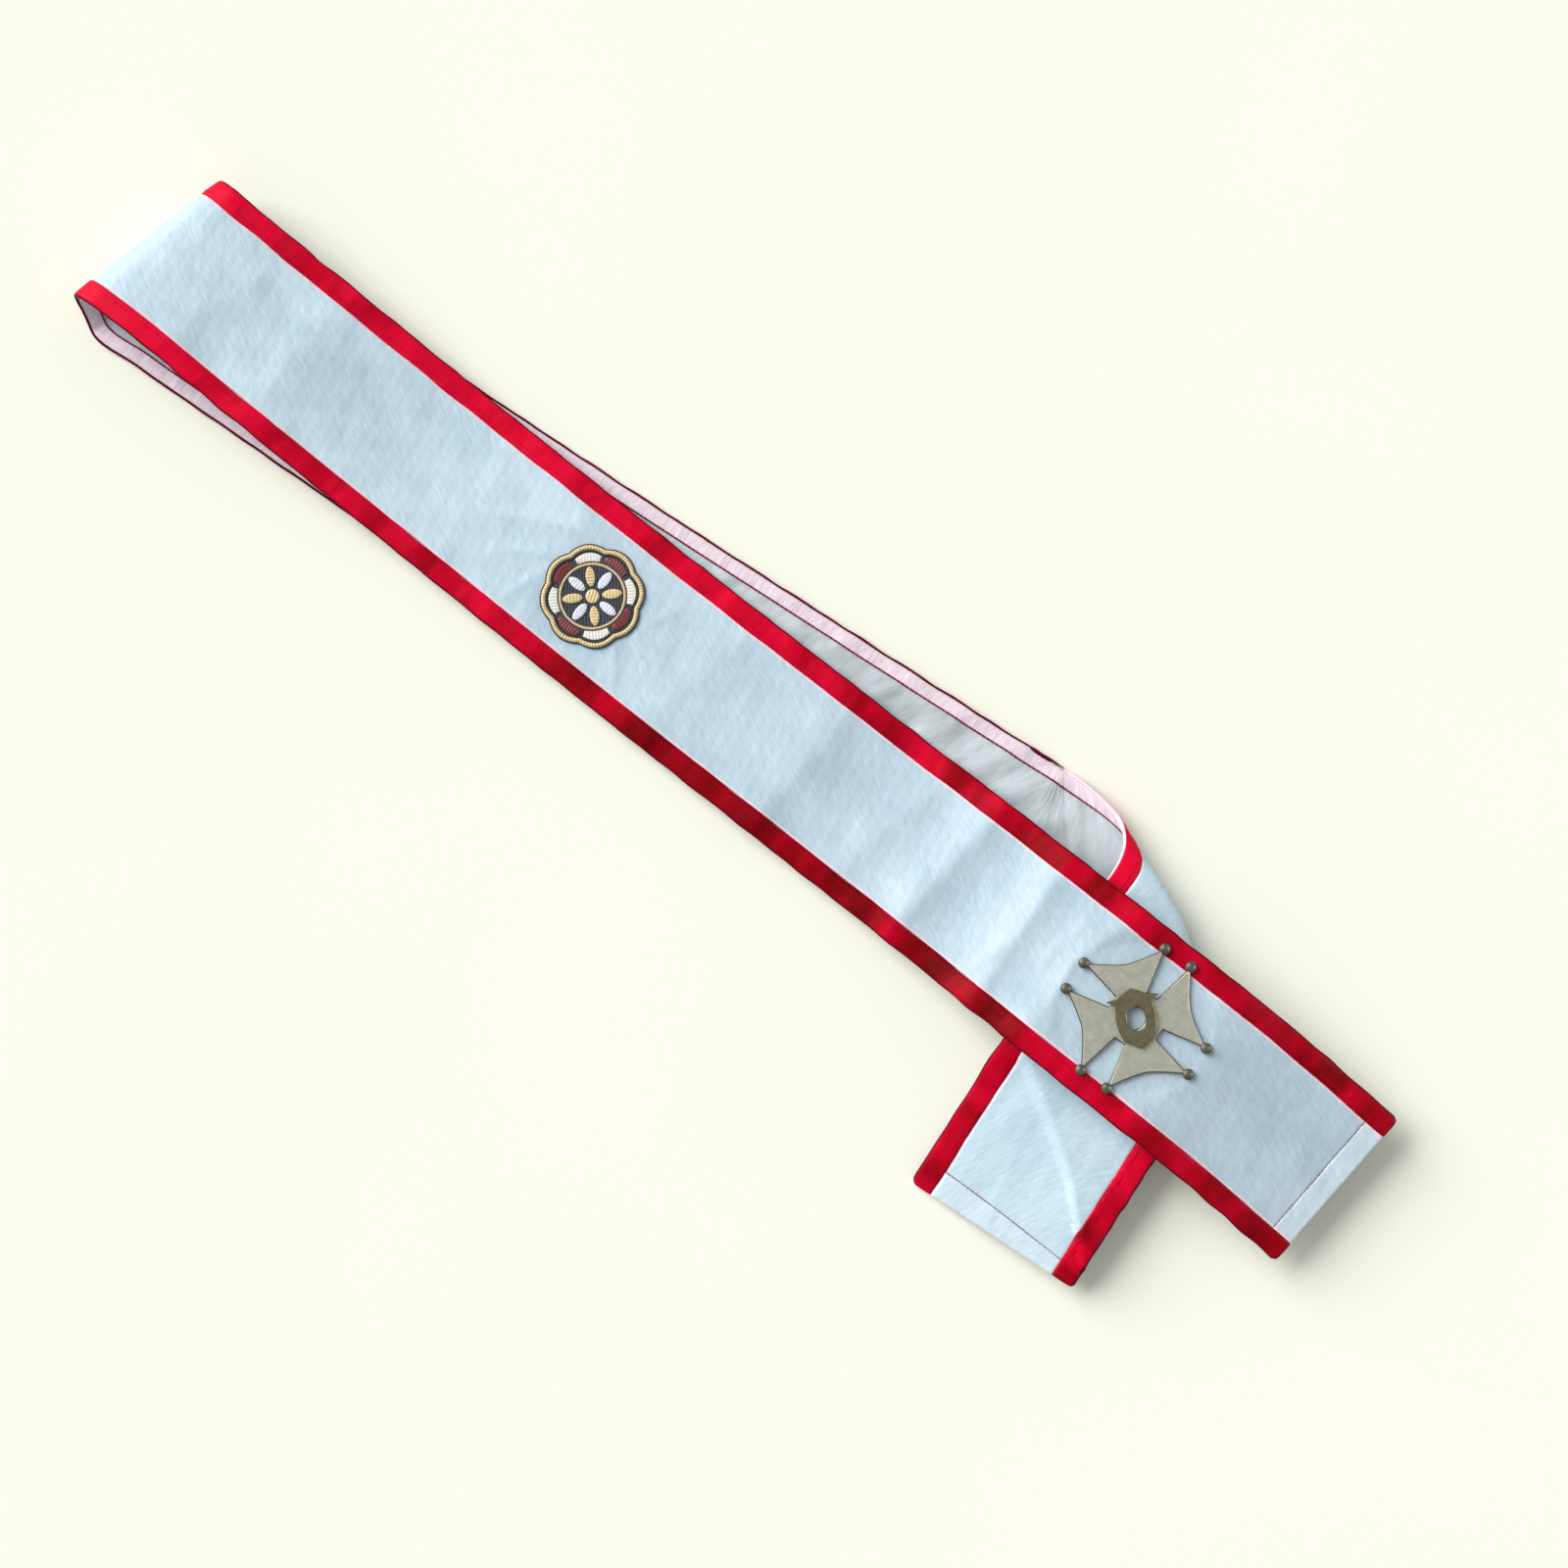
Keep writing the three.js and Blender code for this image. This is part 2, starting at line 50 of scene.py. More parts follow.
# Driving sizes of the cloth
STRAP_WIDTH = 101.6
TRIM_WIDTH = 12.7
CLOTH = 1.0
GAP = 0.3
HALF = STRAP_WIDTH / 2
FACE_HALF = HALF - TRIM_WIDTH
HEM = 13.0
FACE_IN = GAP / 2
FACE_OUT = FACE_IN + CLOTH
TRIM_PROUD = 0.15
LINING_IN = -GAP / 2
LINING_OUT = LINING_IN - CLOTH

# Height of the middle surface where the strap lies face down on the table
TABLE = FACE_OUT + TRIM_PROUD

# The middle of the footprint in the axes of the tables
CENTRE = np.array([-58.37, -10.71, 0.0])

# Front run from its free end to the loop: x and y of the centre line, then the height of the middle
# surface at the lower edge, the middle and the upper edge
FRONT = [
    (373, 13.5, 17, 17, 18),
    (342, 15.0, 21, 21, 21),
    (306, 16.3, 26, 27, 26),
    (272, 16.5, 31, 31.6, 31),
    (232, 16.4, 33, 33.2, 33),
    (190, 16.5, 31, 32.2, 32.5),
    (153, 17.0, 20, 23, 25),
    (120, 17.5, 11, 14, 16),
    (88, 17.6, 6.5, 8, 9),
    (45, 17.2, 4.5, 4.9, 5.4),
    (0, 16.9, 4.2, 4.4, 4.8),
    (-88, 16.2, 4.2, 4.4, 4.8),
    (-177, 16.0, 4.2, 4.4, 4.8),
    (-245, 16.3, 6, 5.6, 5.2),
    (-300, 16.5, 9.5, 9, 8),
    (-350, 16.7, 14, 14, 13),
    (-400, 17.2, 20, 20, 19),
    (-445, 18.0, 26, 26, 25),
]

# Back run, flat on the table, from the loop to the turn: x and y of the centre line
BACK = [
    (-445, 6.2),
    (-390, 9.8),
    (-336, 13.4),
    (-242, 20.2),
    (-144, 28.4),
    (-33, 38.8),
    (77, 49.3),
    (120, 53.4),
]

# Loop: reach of its top and of its wall, and lift of its wall, at the lower edge, middle, upper edge
LOOP_TOP = (58, 46, 32)
LOOP_WALL = (18, 20, 22)
LOOP_LIFT = (14, 12, 10)
LOOP_RISE = 3.5
LOOP_SPREAD = 1.5
LOOP_FOLLOW = 0.95
LOOP_STEPS = (0.15, 0.3, 0.42, 0.54, 0.66, 0.8, 0.92, 1)
CREASE = ((-478, -45.2), (-465, 5.6), (-450, 56))

# Crossing leg: heading in degrees, far corner at the upper edge, and slope down to the table
LEG_HEADING = -84
LEG_CORNER = (192.4, -128)
LEG_WIDEN = 1.025
LEG_TOP = 24.5
LEG_SLOPE = 0.135
LEG_STEPS = (0.35, 0.7, 1)

# Turn: how far before and after the corner it starts and ends, the reach of its bulge low down and
# at its top, and how far the low part has lifted off the table
TURN_BEFORE = (46, 59, 53)
TURN_AFTER = (40, 35, 54)
TURN_LOW_BULGE = (56, 70, 69)
TURN_TOP_BULGE = (56, 76, 18)
TURN_LIFT = (0, 0, 17)
TURN_STEPS = 10

# Folds that cross the front run: place and height of the crest, length of the long side towards
# the loop and of the short side towards the free end, and shift of the crest per mm across
FOLD_COLUMNS = ("x", "height", "before", "after", "skew")
FRONT_FOLDS = [
    (-418, 1.0, 14, 20, 0.3),
    (-366, 3.6, 30, 60, 0.05),
    (-310, 0.5, 26, 24, -0.3),
    (-232, 0.9, 34, 20, 0.1),
    (-182, 2.6, 50, 34, -0.12),
    (-75, 1.1, 24, 20, 0.2),
    (2, 3.8, 46, 20, 0.04),
    (62, 1.4, 20, 14, 0.25),
    (102, 5.4, 26, 17, 0.08),
    (155, 4.0, 18, 12, -0.06),
    (194, 2.4, 16, 26, 0.1),
    (262, 1.6, 30, 44, -0.1),
    (345, 0.9, 22, 20, 0.15),
]

# Soft folds of the back run's lining where it shows, in the same columns
BACK_FOLDS = [
    (-88, 1.0, 18, 16, 0.5),
    (-48, 1.4, 18, 14, 0.6),
    (-8, 1.6, 16, 14, 0.6),
    (30, 2.0, 18, 12, 0.55),
    (62, 2.1, 15, 10, 0.65),
    (90, 2.2, 13, 9, 0.7),
    (114, 1.6, 11, 9, 0.8),
]

# Puckers pulled up by the patch and the seams of the front run: middle, direction in degrees,
# length, breadth and height
PUCKER_COLUMNS = ("x", "w", "angle", "length", "breadth", "height")
PUCKERS = [
    (-205, 12, 25, 42, 3.2, 0.55),
    (-196, -4, 32, 34, 3.0, 0.5),
    (-186, -20, 70, 26, 3.4, 0.5),
    (-176, 26, 14, 36, 3.0, 0.45),
    (-116, -24, -52, 30, 3.0, 0.5),
    (-108, -10, -38, 26, 2.6, 0.4),
    (-112, 14, 62, 24, 3.2, 0.4),
    (-132, -33, 8, 34, 2.6, 0.45),
    (-90, 24, 20, 30, 2.6, 0.35),
    (150, -20, 74, 30, 4.0, 0.45),
    (176, 8, 80, 34, 4.0, 0.4),
    (206, -26, 22, 22, 3.0, 0.45),
    (216, -34, 12, 24, 2.4, 0.4),
]

# Badge and patch
BADGE_X = 231
BADGE_Y = 17.9
BADGE_TURN = 48.5
BADGE_TIP = 40.6
PATCH_X = -150.5

# Even grid that carries the shape of the strap, and how the start of the turn is eased on it
GRID_STEP = 0.7
CROSS_STEPS = 80
HERMITE_PARTS = 12
EASE_ROUNDS = 150
EASE_BEFORE = 12
EASE_AFTER = 14

# Where the relief of each run starts and stops, measured from the ends of the runs, and how softly it fades
FRONT_START = -60
BACK_START = 330
BACK_STOP = 10
LEG_STOP = 60
RUN_SOFT = 25
LEG_SOFT = 40
LEG_LEAD = 60

# Where across the strap the folds of the back run start to rise, and over what breadth
BACK_FOLD_FROM = -10
BACK_FOLD_RAMP = 30

# Section of a fold: how round its crest is and how fast it falls away
FOLD_ROUND = 0.25
FOLD_FALL = 1.3

# Slanting crease of the crossing leg: distance from the free end and its change across the strap, how
# it bends back below a place across, then its rise, the length and start of its step, and its fall
LEG_CREASE_AT = 61.8
LEG_CREASE_SLANT = 0.404
LEG_CREASE_BEND = 0.014
LEG_CREASE_BEND_FROM = -8
LEG_CREASE_RISE = 3.2
LEG_CREASE_STEP = 8
LEG_CREASE_START = 0.3
LEG_CREASE_TOP = 6
LEG_CREASE_FALL = 40

# The cloth stays under the badge: how fast the limit rises around it, how softly it holds, and the least
# room left for folds; elsewhere there is room enough
CAP_SLOPE = 0.2
CAP_ROUND = 0.3
LEAST_ROOM = 0.05
FREE_ROOM = 99

# The badge's plane is fitted where the cloth faces up at least this much
FACING_UP = 0.5

# Random crinkles: height, wavelength, direction in degrees, its spread, and seed
UNDULATION = (0.3, 34, 105, 28, 21)
FINE_STREAKS = (0.06, 3.8, 115, 10, 3)
STREAKS = (0.08, 7.5, 118, 16, 8)
FACE_CREASES = (0.2, 19, 108, 35, 13)
LINING_GATHER = (0.16, 8, 12, 16, 17)
LINING_CREASES = (0.1, 15, 60, 24, 5)
RIBBON_RIPPLE = (0.32, 36, 4, 14, 11)
RIBBON_CREASES = (0.09, 11, 6, 18, 51)
SEAM_WOBBLE = (0.28, 48, 0, 0, 31)
EDGE_WOBBLE = (0.28, 30, 0, 0, 41)
CRINKLE_WAVES = 14
CRINKLE_SPREAD = 0.35


def across(values, v):
    """A value given at the lower edge (-1), the middle (0) and the upper edge (1), at each v."""
    low, mid, high = (np.asarray(x, float) for x in values)
    shape = v.shape + (1,) * low.ndim
    u = v.reshape(shape)
    return low * u * (u - 1) / 2 + mid * (1 - u * u) + high * u * (u + 1) / 2


def unit(vector):
    return vector / np.linalg.norm(vector)


def heading_at(run, i):
    before = run[max(i - 1, 0)]
    after = run[min(i + 1, len(run) - 1)]
    return unit(np.array([after[0] - before[0], after[1] - before[1]], float))


def straight_row(x, y, heights, heading, side, v):
    """The points of a row that lies square to its heading."""
    normal = np.array([-heading[1], heading[0]]) * side
    reach = HALF * math.cos(math.asin((heights[2] - heights[0]) / STRAP_WIDTH))
    points = [
        (x + normal[0] * reach * k, y + normal[1] * reach * k, z)
        for k, z in zip((-1, 0, 1), heights)
    ]
    return across(points, v)


def bezier(p0, p1, p2, p3, t):
    return p0 * (1 - t) ** 3 + 3 * p1 * t * (1 - t) ** 2 + 3 * p2 * t * t * (1 - t) + p3 * t**3


def loop_rows(start, v):
    crease = across([(x, y, TABLE) for x, y in CREASE], v)
    top = start + np.stack([-across(LOOP_TOP, v), LOOP_SPREAD * v, np.full_like(v, LOOP_RISE)], 1)
    side = LOOP_FOLLOW * (start[:, 1] - crease[:, 1])
    wall = crease + np.stack([-across(LOOP_WALL, v), side, across(LOOP_LIFT, v)], 1)
    return [bezier(start, top, wall, crease, t) for t in LOOP_STEPS]


def turn_rows(v):
    """The turn's rows and the leg's: the strap rolls up and over and comes down across the front run."""
    into = heading_at(BACK, len(BACK) - 1)
    heading = math.radians(LEG_HEADING)
    out = np.array([math.cos(heading), math.sin(heading)])
    into_normal = np.array([-into[1], into[0]])
    to_lower = np.array([-out[1], out[0]])
    leg_end = np.array(LEG_CORNER, float) + np.outer(HALF * LEG_WIDEN * (1 - v), to_lower)
    starts = np.array(BACK[-1], float) + np.outer(v * HALF, into_normal)
    gaps = leg_end - starts
    reach = (gaps[:, 0] * out[1] - gaps[:, 1] * out[0]) / (into[0] * out[1] - into[1] * out[0])
    corners = starts + np.outer(reach, into)
    fold = unit(corners[0] - corners[-1])
    away = np.array([fold[1], -fold[0]])

    def on_leg(points):
        height = LEG_TOP - (points - corners[-1]) @ away * LEG_SLOPE
        return np.column_stack([points, height])

    first = corners - into * across(TURN_BEFORE, v)[:, None]
    last = corners + out * across(TURN_AFTER, v)[:, None]
    low = first + into * across(TURN_LOW_BULGE, v)[:, None]
    p0 = np.column_stack([first, np.full(len(v), TABLE)])
    p1 = np.column_stack([low, TABLE + across(TURN_LIFT, v)])
    p2 = on_leg(last - out * across(TURN_TOP_BULGE, v)[:, None])
    p3 = on_leg(last)
    rows = [bezier(p0, p1, p2, p3, i / TURN_STEPS) for i in range(TURN_STEPS + 1)]
    end = on_leg(leg_end)
    return rows + [p3 * (1 - t) + end * t for t in LEG_STEPS]


def strap_rows(v):
    """All rows of the strap's middle surface and the number of rows in each run."""
    front = [
        straight_row(x, y, heights, heading_at(FRONT, i), -1, v)
        for i, (x, y, *heights) in enumerate(FRONT)
    ]
    loop = loop_rows(front[-1], v)
    back = [
        straight_row(x, y, (TABLE,) * 3, heading_at(BACK, i), 1, v)
        for i, (x, y) in enumerate(BACK)
    ]
    return np.array(front + loop + back + turn_rows(v)), (len(front), len(loop), len(back))


def smooth_rows(rows, parts):
    """Hermite curves through the given rows, with parts steps between each two."""
    steps = np.linalg.norm(np.diff(rows, axis=0), axis=2, keepdims=True)
    chords = np.diff(rows, axis=0) / steps
    slopes = np.empty_like(rows)
    slopes[0] = chords[0]
    slopes[-1] = chords[-1]
    ahead, behind = steps[1:], steps[:-1]
    slopes[1:-1] = (chords[:-1] * ahead + chords[1:] * behind) / (ahead + behind)
    result = []
    for i in range(len(rows) - 1):
        for k in range(parts):
            t = k / parts
            result.append(
                (2 * t**3 - 3 * t**2 + 1) * rows[i]
                + (t**3 - 2 * t**2 + t) * steps[i] * slopes[i]
                + (3 * t**2 - 2 * t**3) * rows[i + 1]
                + (t**3 - t**2) * steps[i] * slopes[i + 1]
            )
    result.append(rows[-1])
    result = np.array(result)
    result[:, :, 2] = np.maximum(result[:, :, 2], TABLE)
    return result


def normals_of(points):
    """Face-side normals of a grid of points."""
    along = np.gradient(points, axis=0)
    over = np.gradient(points, axis=1)
    normal = np.cross(over, along)
    return normal / np.linalg.norm(normal, axis=2, keepdims=True)


class Plane:
    """The plane that lies on the face of the front run around a place, clear of the cloth."""

    def __init__(self, points, normals, x, y, reach):
        face = points + normals * FACE_OUT
        near = (np.hypot(points[..., 0] - x, points[..., 1] - y) < reach) & (normals[..., 2] > FACING_UP)
        px, py, pz = face[near].T
        self.centre = np.array([px.mean(), py.mean(), pz.mean()])
        self.slope_x = np.mean((px - px.mean()) * (pz - pz.mean())) / px.var()
        self.slope_y = np.mean((py - py.mean()) * (pz - pz.mean())) / py.var()
        self.proud = (pz - self.level(px, py)).max()
        self.origin = Vector((x, y, self.level(x, y) + self.proud + GAP))
        self.turn = Vector((0, 0, 1)).rotation_difference(Vector((-self.slope_x, -self.slope_y, 1)))

    def level(self, x, y):
        return self.centre[2] + self.slope_x * (x - self.centre[0]) + self.slope_y * (y - self.centre[1])

    def place(self, points):
        """Points given in the plane's own axes, as table millimetres."""
        turned = np.asarray(points, float) @ np.array(self.turn.to_matrix()).T
        return turned + np.array(self.origin)


class Strap:
    """The strap's middle surface as an even grid: rows along it, columns from edge to edge."""

    def __init__(self):
        v = np.linspace(-1, 1, CROSS_STEPS + 1)
        rows, counts = strap_rows(v)
        fine = smooth_rows(rows, HERMITE_PARTS)
        middle = fine[:, CROSS_STEPS // 2]
        length = np.concatenate([[0], np.cumsum(np.linalg.norm(np.diff(middle, axis=0), axis=1))])
        given = length[::HERMITE_PARTS]
        self.front_end = given[counts[0] - 1]
        self.crease = given[counts[0] + counts[1] - 1]
        self.turn_start = given[sum(counts)]
        self.leg_start = given[sum(counts) + TURN_STEPS]
        self.length = length[-1]
        self.s = np.linspace(0, self.length, round(self.length / GRID_STEP) + 1)
        self.step = self.s[1]
        self.w = v * HALF
        index = np.interp(self.s, length, np.arange(len(length)))
        low = np.minimum(index.astype(int), len(fine) - 2)
        part = (index - low)[:, None, None]
        self.plain = self.eased(fine[low] * (1 - part) + fine[low + 1] * part)
        plain_normals = normals_of(self.plain)
        front = self.s < self.front_end
        self.badge_plane = Plane(self.plain[front], plain_normals[front], BADGE_X, BADGE_Y, BADGE_TIP)
        self.points = self.plain + plain_normals * self.relief()[:, :, None]
        self.normals = normals_of(self.points)

    def eased(self, points):
        """The points with the start of the turn eased along the strap."""
        soft = points
        for _ in range(EASE_ROUNDS):
            soft = np.concatenate([soft[:1], (soft[:-2] + 2 * soft[1:-1] + soft[2:]) / 4, soft[-1:]])
        share = self.run_mask(self.turn_start - EASE_BEFORE, self.turn_start + EASE_AFTER)[:, :, None]
        return points * (1 - share) + soft * share

    def run_mask(self, start, end, soft=RUN_SOFT):
        """1 along the strap from start to end, fading outside."""
        rise = (self.s - start) / soft + 1
        fall = (end - self.s) / soft + 1
        return smooth(np.minimum(rise, fall))[:, None]

    def leg_share(self, s):
        """1 on the crossing leg, fading before it."""
        return smooth((s - self.leg_start) / LEG_LEAD + 1)

    def relief(self):
        """Folds and puckers that all layers of the cloth share, in millimetres over the middle surface."""
        x, y, z = np.moveaxis(self.plain, 2, 0)
        w = np.broadcast_to(self.w, x.shape)
        s = np.broadcast_to(self.s[:, None], x.shape)
        front = self.run_mask(FRONT_START, self.front_end)
        back = self.run_mask(self.crease + BACK_START, self.turn_start - BACK_STOP)
        leg = self.run_mask(self.leg_start, self.length + LEG_STOP, LEG_SOFT)
        height = front * (folds(FRONT_FOLDS, x, w) + puckers(x, w))
        height += (front + leg) * crinkles(s, w, UNDULATION)
        height -= back * folds(BACK_FOLDS, x, w) * np.clip((w - BACK_FOLD_FROM) / BACK_FOLD_RAMP, 0, 1)
        height += leg * leg_crease(self.length - s, w)
        beyond = np.clip(np.hypot(x - BADGE_X, y - BADGE_Y) - BADGE_TIP, 0, None)
        limit = self.badge_plane.level(x, y) + self.badge_plane.proud + GAP / 2
        room = limit - FACE_OUT - z + beyond * CAP_SLOPE
        room = np.where(s < self.front_end, np.maximum(room, LEAST_ROOM), FREE_ROOM)
        return -CAP_ROUND * np.log(np.exp(-height / CAP_ROUND) + np.exp(-room / CAP_ROUND))

    def place(self, s, w, n):
        """Points at s along, w across and n over the middle surface, in table millimetres."""
        s, w, n = np.broadcast_arrays(*[np.asarray(value, float) for value in (s, w, n)])
        column = (w / HALF + 1) / 2 * CROSS_STEPS
        row = s / self.step
        i = np.clip(np.floor(row).astype(int), 0, len(self.s) - 2)
        j = np.clip(np.floor(column).astype(int), 0, CROSS_STEPS - 1)
        along = (row - i)[..., None]
        over = (column - j)[..., None]

        def blend(grid):
            near = grid[i, j] * (1 - along) + grid[i + 1, j] * along
            far = grid[i, j + 1] * (1 - along) + grid[i + 1, j + 1] * along
            return near * (1 - over) + far * over

        normal = blend(self.normals)
        normal /= np.linalg.norm(normal, axis=-1, keepdims=True)
        points = blend(self.points) + normal * n[..., None]
        points[..., 2] = np.maximum(points[..., 2], 0.0)
        return points

    def to_end(self, s):
        """Distance from the nearer free end."""
        return np.minimum(s, self.length - s)

    def at_x(self, x):
        """Place along the front run of a table x."""
        front = self.s < self.front_end
        return np.interp(-x, -self.plain[front, CROSS_STEPS // 2, 0], self.s[front])


def smooth(t):
    """0 below 0, 1 above 1 and a soft step between."""
    t = np.clip(t, 0, 1)
    return t * t * (3 - 2 * t)


def bell(distance, breadth):
    """1 at no distance, falling away softly on both sides."""
    return np.exp(-((distance / breadth) ** 2))


def folds(table, x, w):
    """The height of a table of folds: each has a rounded crest and falls away on both sides."""
    height = np.zeros_like(x)
    for row in table:
        fold = dict(zip(FOLD_COLUMNS, row))
        distance = x - fold["x"] - fold["skew"] * w
        reach = np.where(distance < 0, fold["before"], fold["after"])
        soft = np.sqrt((distance / reach) ** 2 + FOLD_ROUND**2) - FOLD_ROUND
        height += fold["height"] * np.exp(-FOLD_FALL * soft)
    return height


def puckers(x, w):
    """The height of the small ridges in the PUCKERS table."""
    height = np.zeros_like(x)
    for row in PUCKERS:
        ridge = dict(zip(PUCKER_COLUMNS, row))
        angle = math.radians(ridge["angle"])
        dx, dw = x - ridge["x"], w - ridge["w"]
        along = dx * math.cos(angle) + dw * math.sin(angle)
        over = dw * math.cos(angle) - dx * math.sin(angle)
        over = over + (along / ridge["length"]) ** 2 * ridge["breadth"]
        ends = np.exp(-((2 * along / ridge["length"]) ** 4))
        height += ridge["height"] * bell(over, ridge["breadth"]) * ends
    return height


def leg_crease(to_end, w):
    """A crease that runs slanting over the crossing leg: the cloth steps up behind it."""
    bend = LEG_CREASE_BEND * np.clip(LEG_CREASE_BEND_FROM - w, 0, None) ** 2
    beyond = to_end - LEG_CREASE_AT - LEG_CREASE_SLANT * w + bend
    step = smooth(beyond / LEG_CREASE_STEP + LEG_CREASE_START)
    return LEG_CREASE_RISE * step * np.exp(-np.clip(beyond - LEG_CREASE_TOP, 0, None) / LEG_CREASE_FALL)


def crinkles(s, w, kind, shift=0):
    """Soft random crinkles of one kind: plane waves near one direction, with the seed moved by shift."""
    height, wavelength, angle, spread, seed = kind
    dice = np.random.default_rng(seed + shift)
    total = np.zeros(np.broadcast_shapes(np.shape(s), np.shape(w)))
    for _ in range(CRINKLE_WAVES):
        turn = math.radians(angle + dice.normal(0, spread))
        step = 2 * math.pi / (wavelength * math.exp(dice.normal(0, CRINKLE_SPREAD)))
        phase = dice.uniform(0, 2 * math.pi)
        total += np.sin(step * (s * math.cos(turn) + w * math.sin(turn)) + phase)
    return height * total / math.sqrt(2 * CRINKLE_WAVES)


strap = Strap()


def places(points):
    """Table millimetres to the frame's metres."""
    return (np.asarray(points, float) - CENTRE) * MM


def new_mesh(name, vertices, faces, sharp=None):
    """A mesh object from points in the frame's metres, smooth but for edges sharper than sharp degrees."""
    mesh = bpy.data.meshes.new(name)
    mesh.from_pydata(np.asarray(vertices).tolist(), [], faces)
    form = bmesh.new()
    form.from_mesh(mesh)
    bmesh.ops.recalc_face_normals(form, faces=form.faces)
    form.to_mesh(mesh)
    form.free()
    mesh.shade_smooth()
    if sharp is not None:
        mesh.set_sharp_from_angle(angle=math.radians(sharp))
    piece = bpy.data.objects.new(name, mesh)
    bpy.context.scene.collection.objects.link(piece)
    return piece


def quads(index):
    """Faces of a grid of point numbers."""
    a, b, c, d = index[:-1, :-1], index[:-1, 1:], index[1:, 1:], index[1:, :-1]
    return np.stack([a, b, c, d], -1).reshape(-1, 4).tolist()


def tube(index):
    """Faces of a grid of point numbers whose last column is joined to its first."""
    return quads(np.column_stack([index, index[:, 0]]))


def fan(ring, tip):
    """Faces between a closed ring of point numbers and a tip."""
    return [[int(a), int(b), tip] for a, b in zip(ring, np.roll(ring, -1))]


def numbered(start, *shape):
    return start + np.arange(math.prod(shape)).reshape(shape)


def circle(count):
    """The angles of count points round a circle."""
    return np.arange(count) * 2 * math.pi / count


def around(radius, angle):
    """Flat points at a radius and an angle."""
    return np.stack([radius * np.cos(angle), radius * np.sin(angle)], -1)


def turned(points, angle):
    """Flat points turned about the origin."""
    cos, sin = math.cos(angle), math.sin(angle)
    return np.asarray(points, float) @ np.array([(cos, sin), (-sin, cos)])


def oval(half_x, half_y, count, reach=0.0, angle=0.0):
    """An oval whose middle lies reach from the origin, turned about the origin."""
    return turned(around(1, circle(count)) * (half_x, half_y) + (reach, 0), angle)


def closed_sheet(name, top, bottom, flat_top, flat_bottom):
    """A closed mesh between two grids of points with the same rows; flat_ are their maps in millimetres."""
    upper = numbered(0, *top.shape[:2])
    under = numbered(upper.size, *bottom.shape[:2])
    faces = quads(upper) + quads(under)
    for j in (0, -1):
        faces += quads(np.stack([upper[:, j], under[:, j]], 1))
    for i in (0, -1):
        faces.append([*upper[i], *under[i, ::-1]])
    points = np.concatenate([top.reshape(-1, 3), bottom.reshape(-1, 3)])
    piece = new_mesh(name, places(points), faces)
    add_map(piece, np.concatenate([flat_top.reshape(-1, 2), flat_bottom.reshape(-1, 2)]) * MM)
    return piece


def add_map(piece, per_point):
    """The map named cloth: metres along and across the flat cloth, or along and across a thread."""
    layer = piece.data.uv_layers.new(name="cloth")
    corner = np.zeros(len(piece.data.loops), int)
    piece.data.loops.foreach_get("vertex_index", corner)
    layer.data.foreach_set("uv", np.asarray(per_point, np.float32)[corner].ravel())


def flat_map(s, w):
    return np.stack(np.broadcast_arrays(s, w), -1)


# Materials


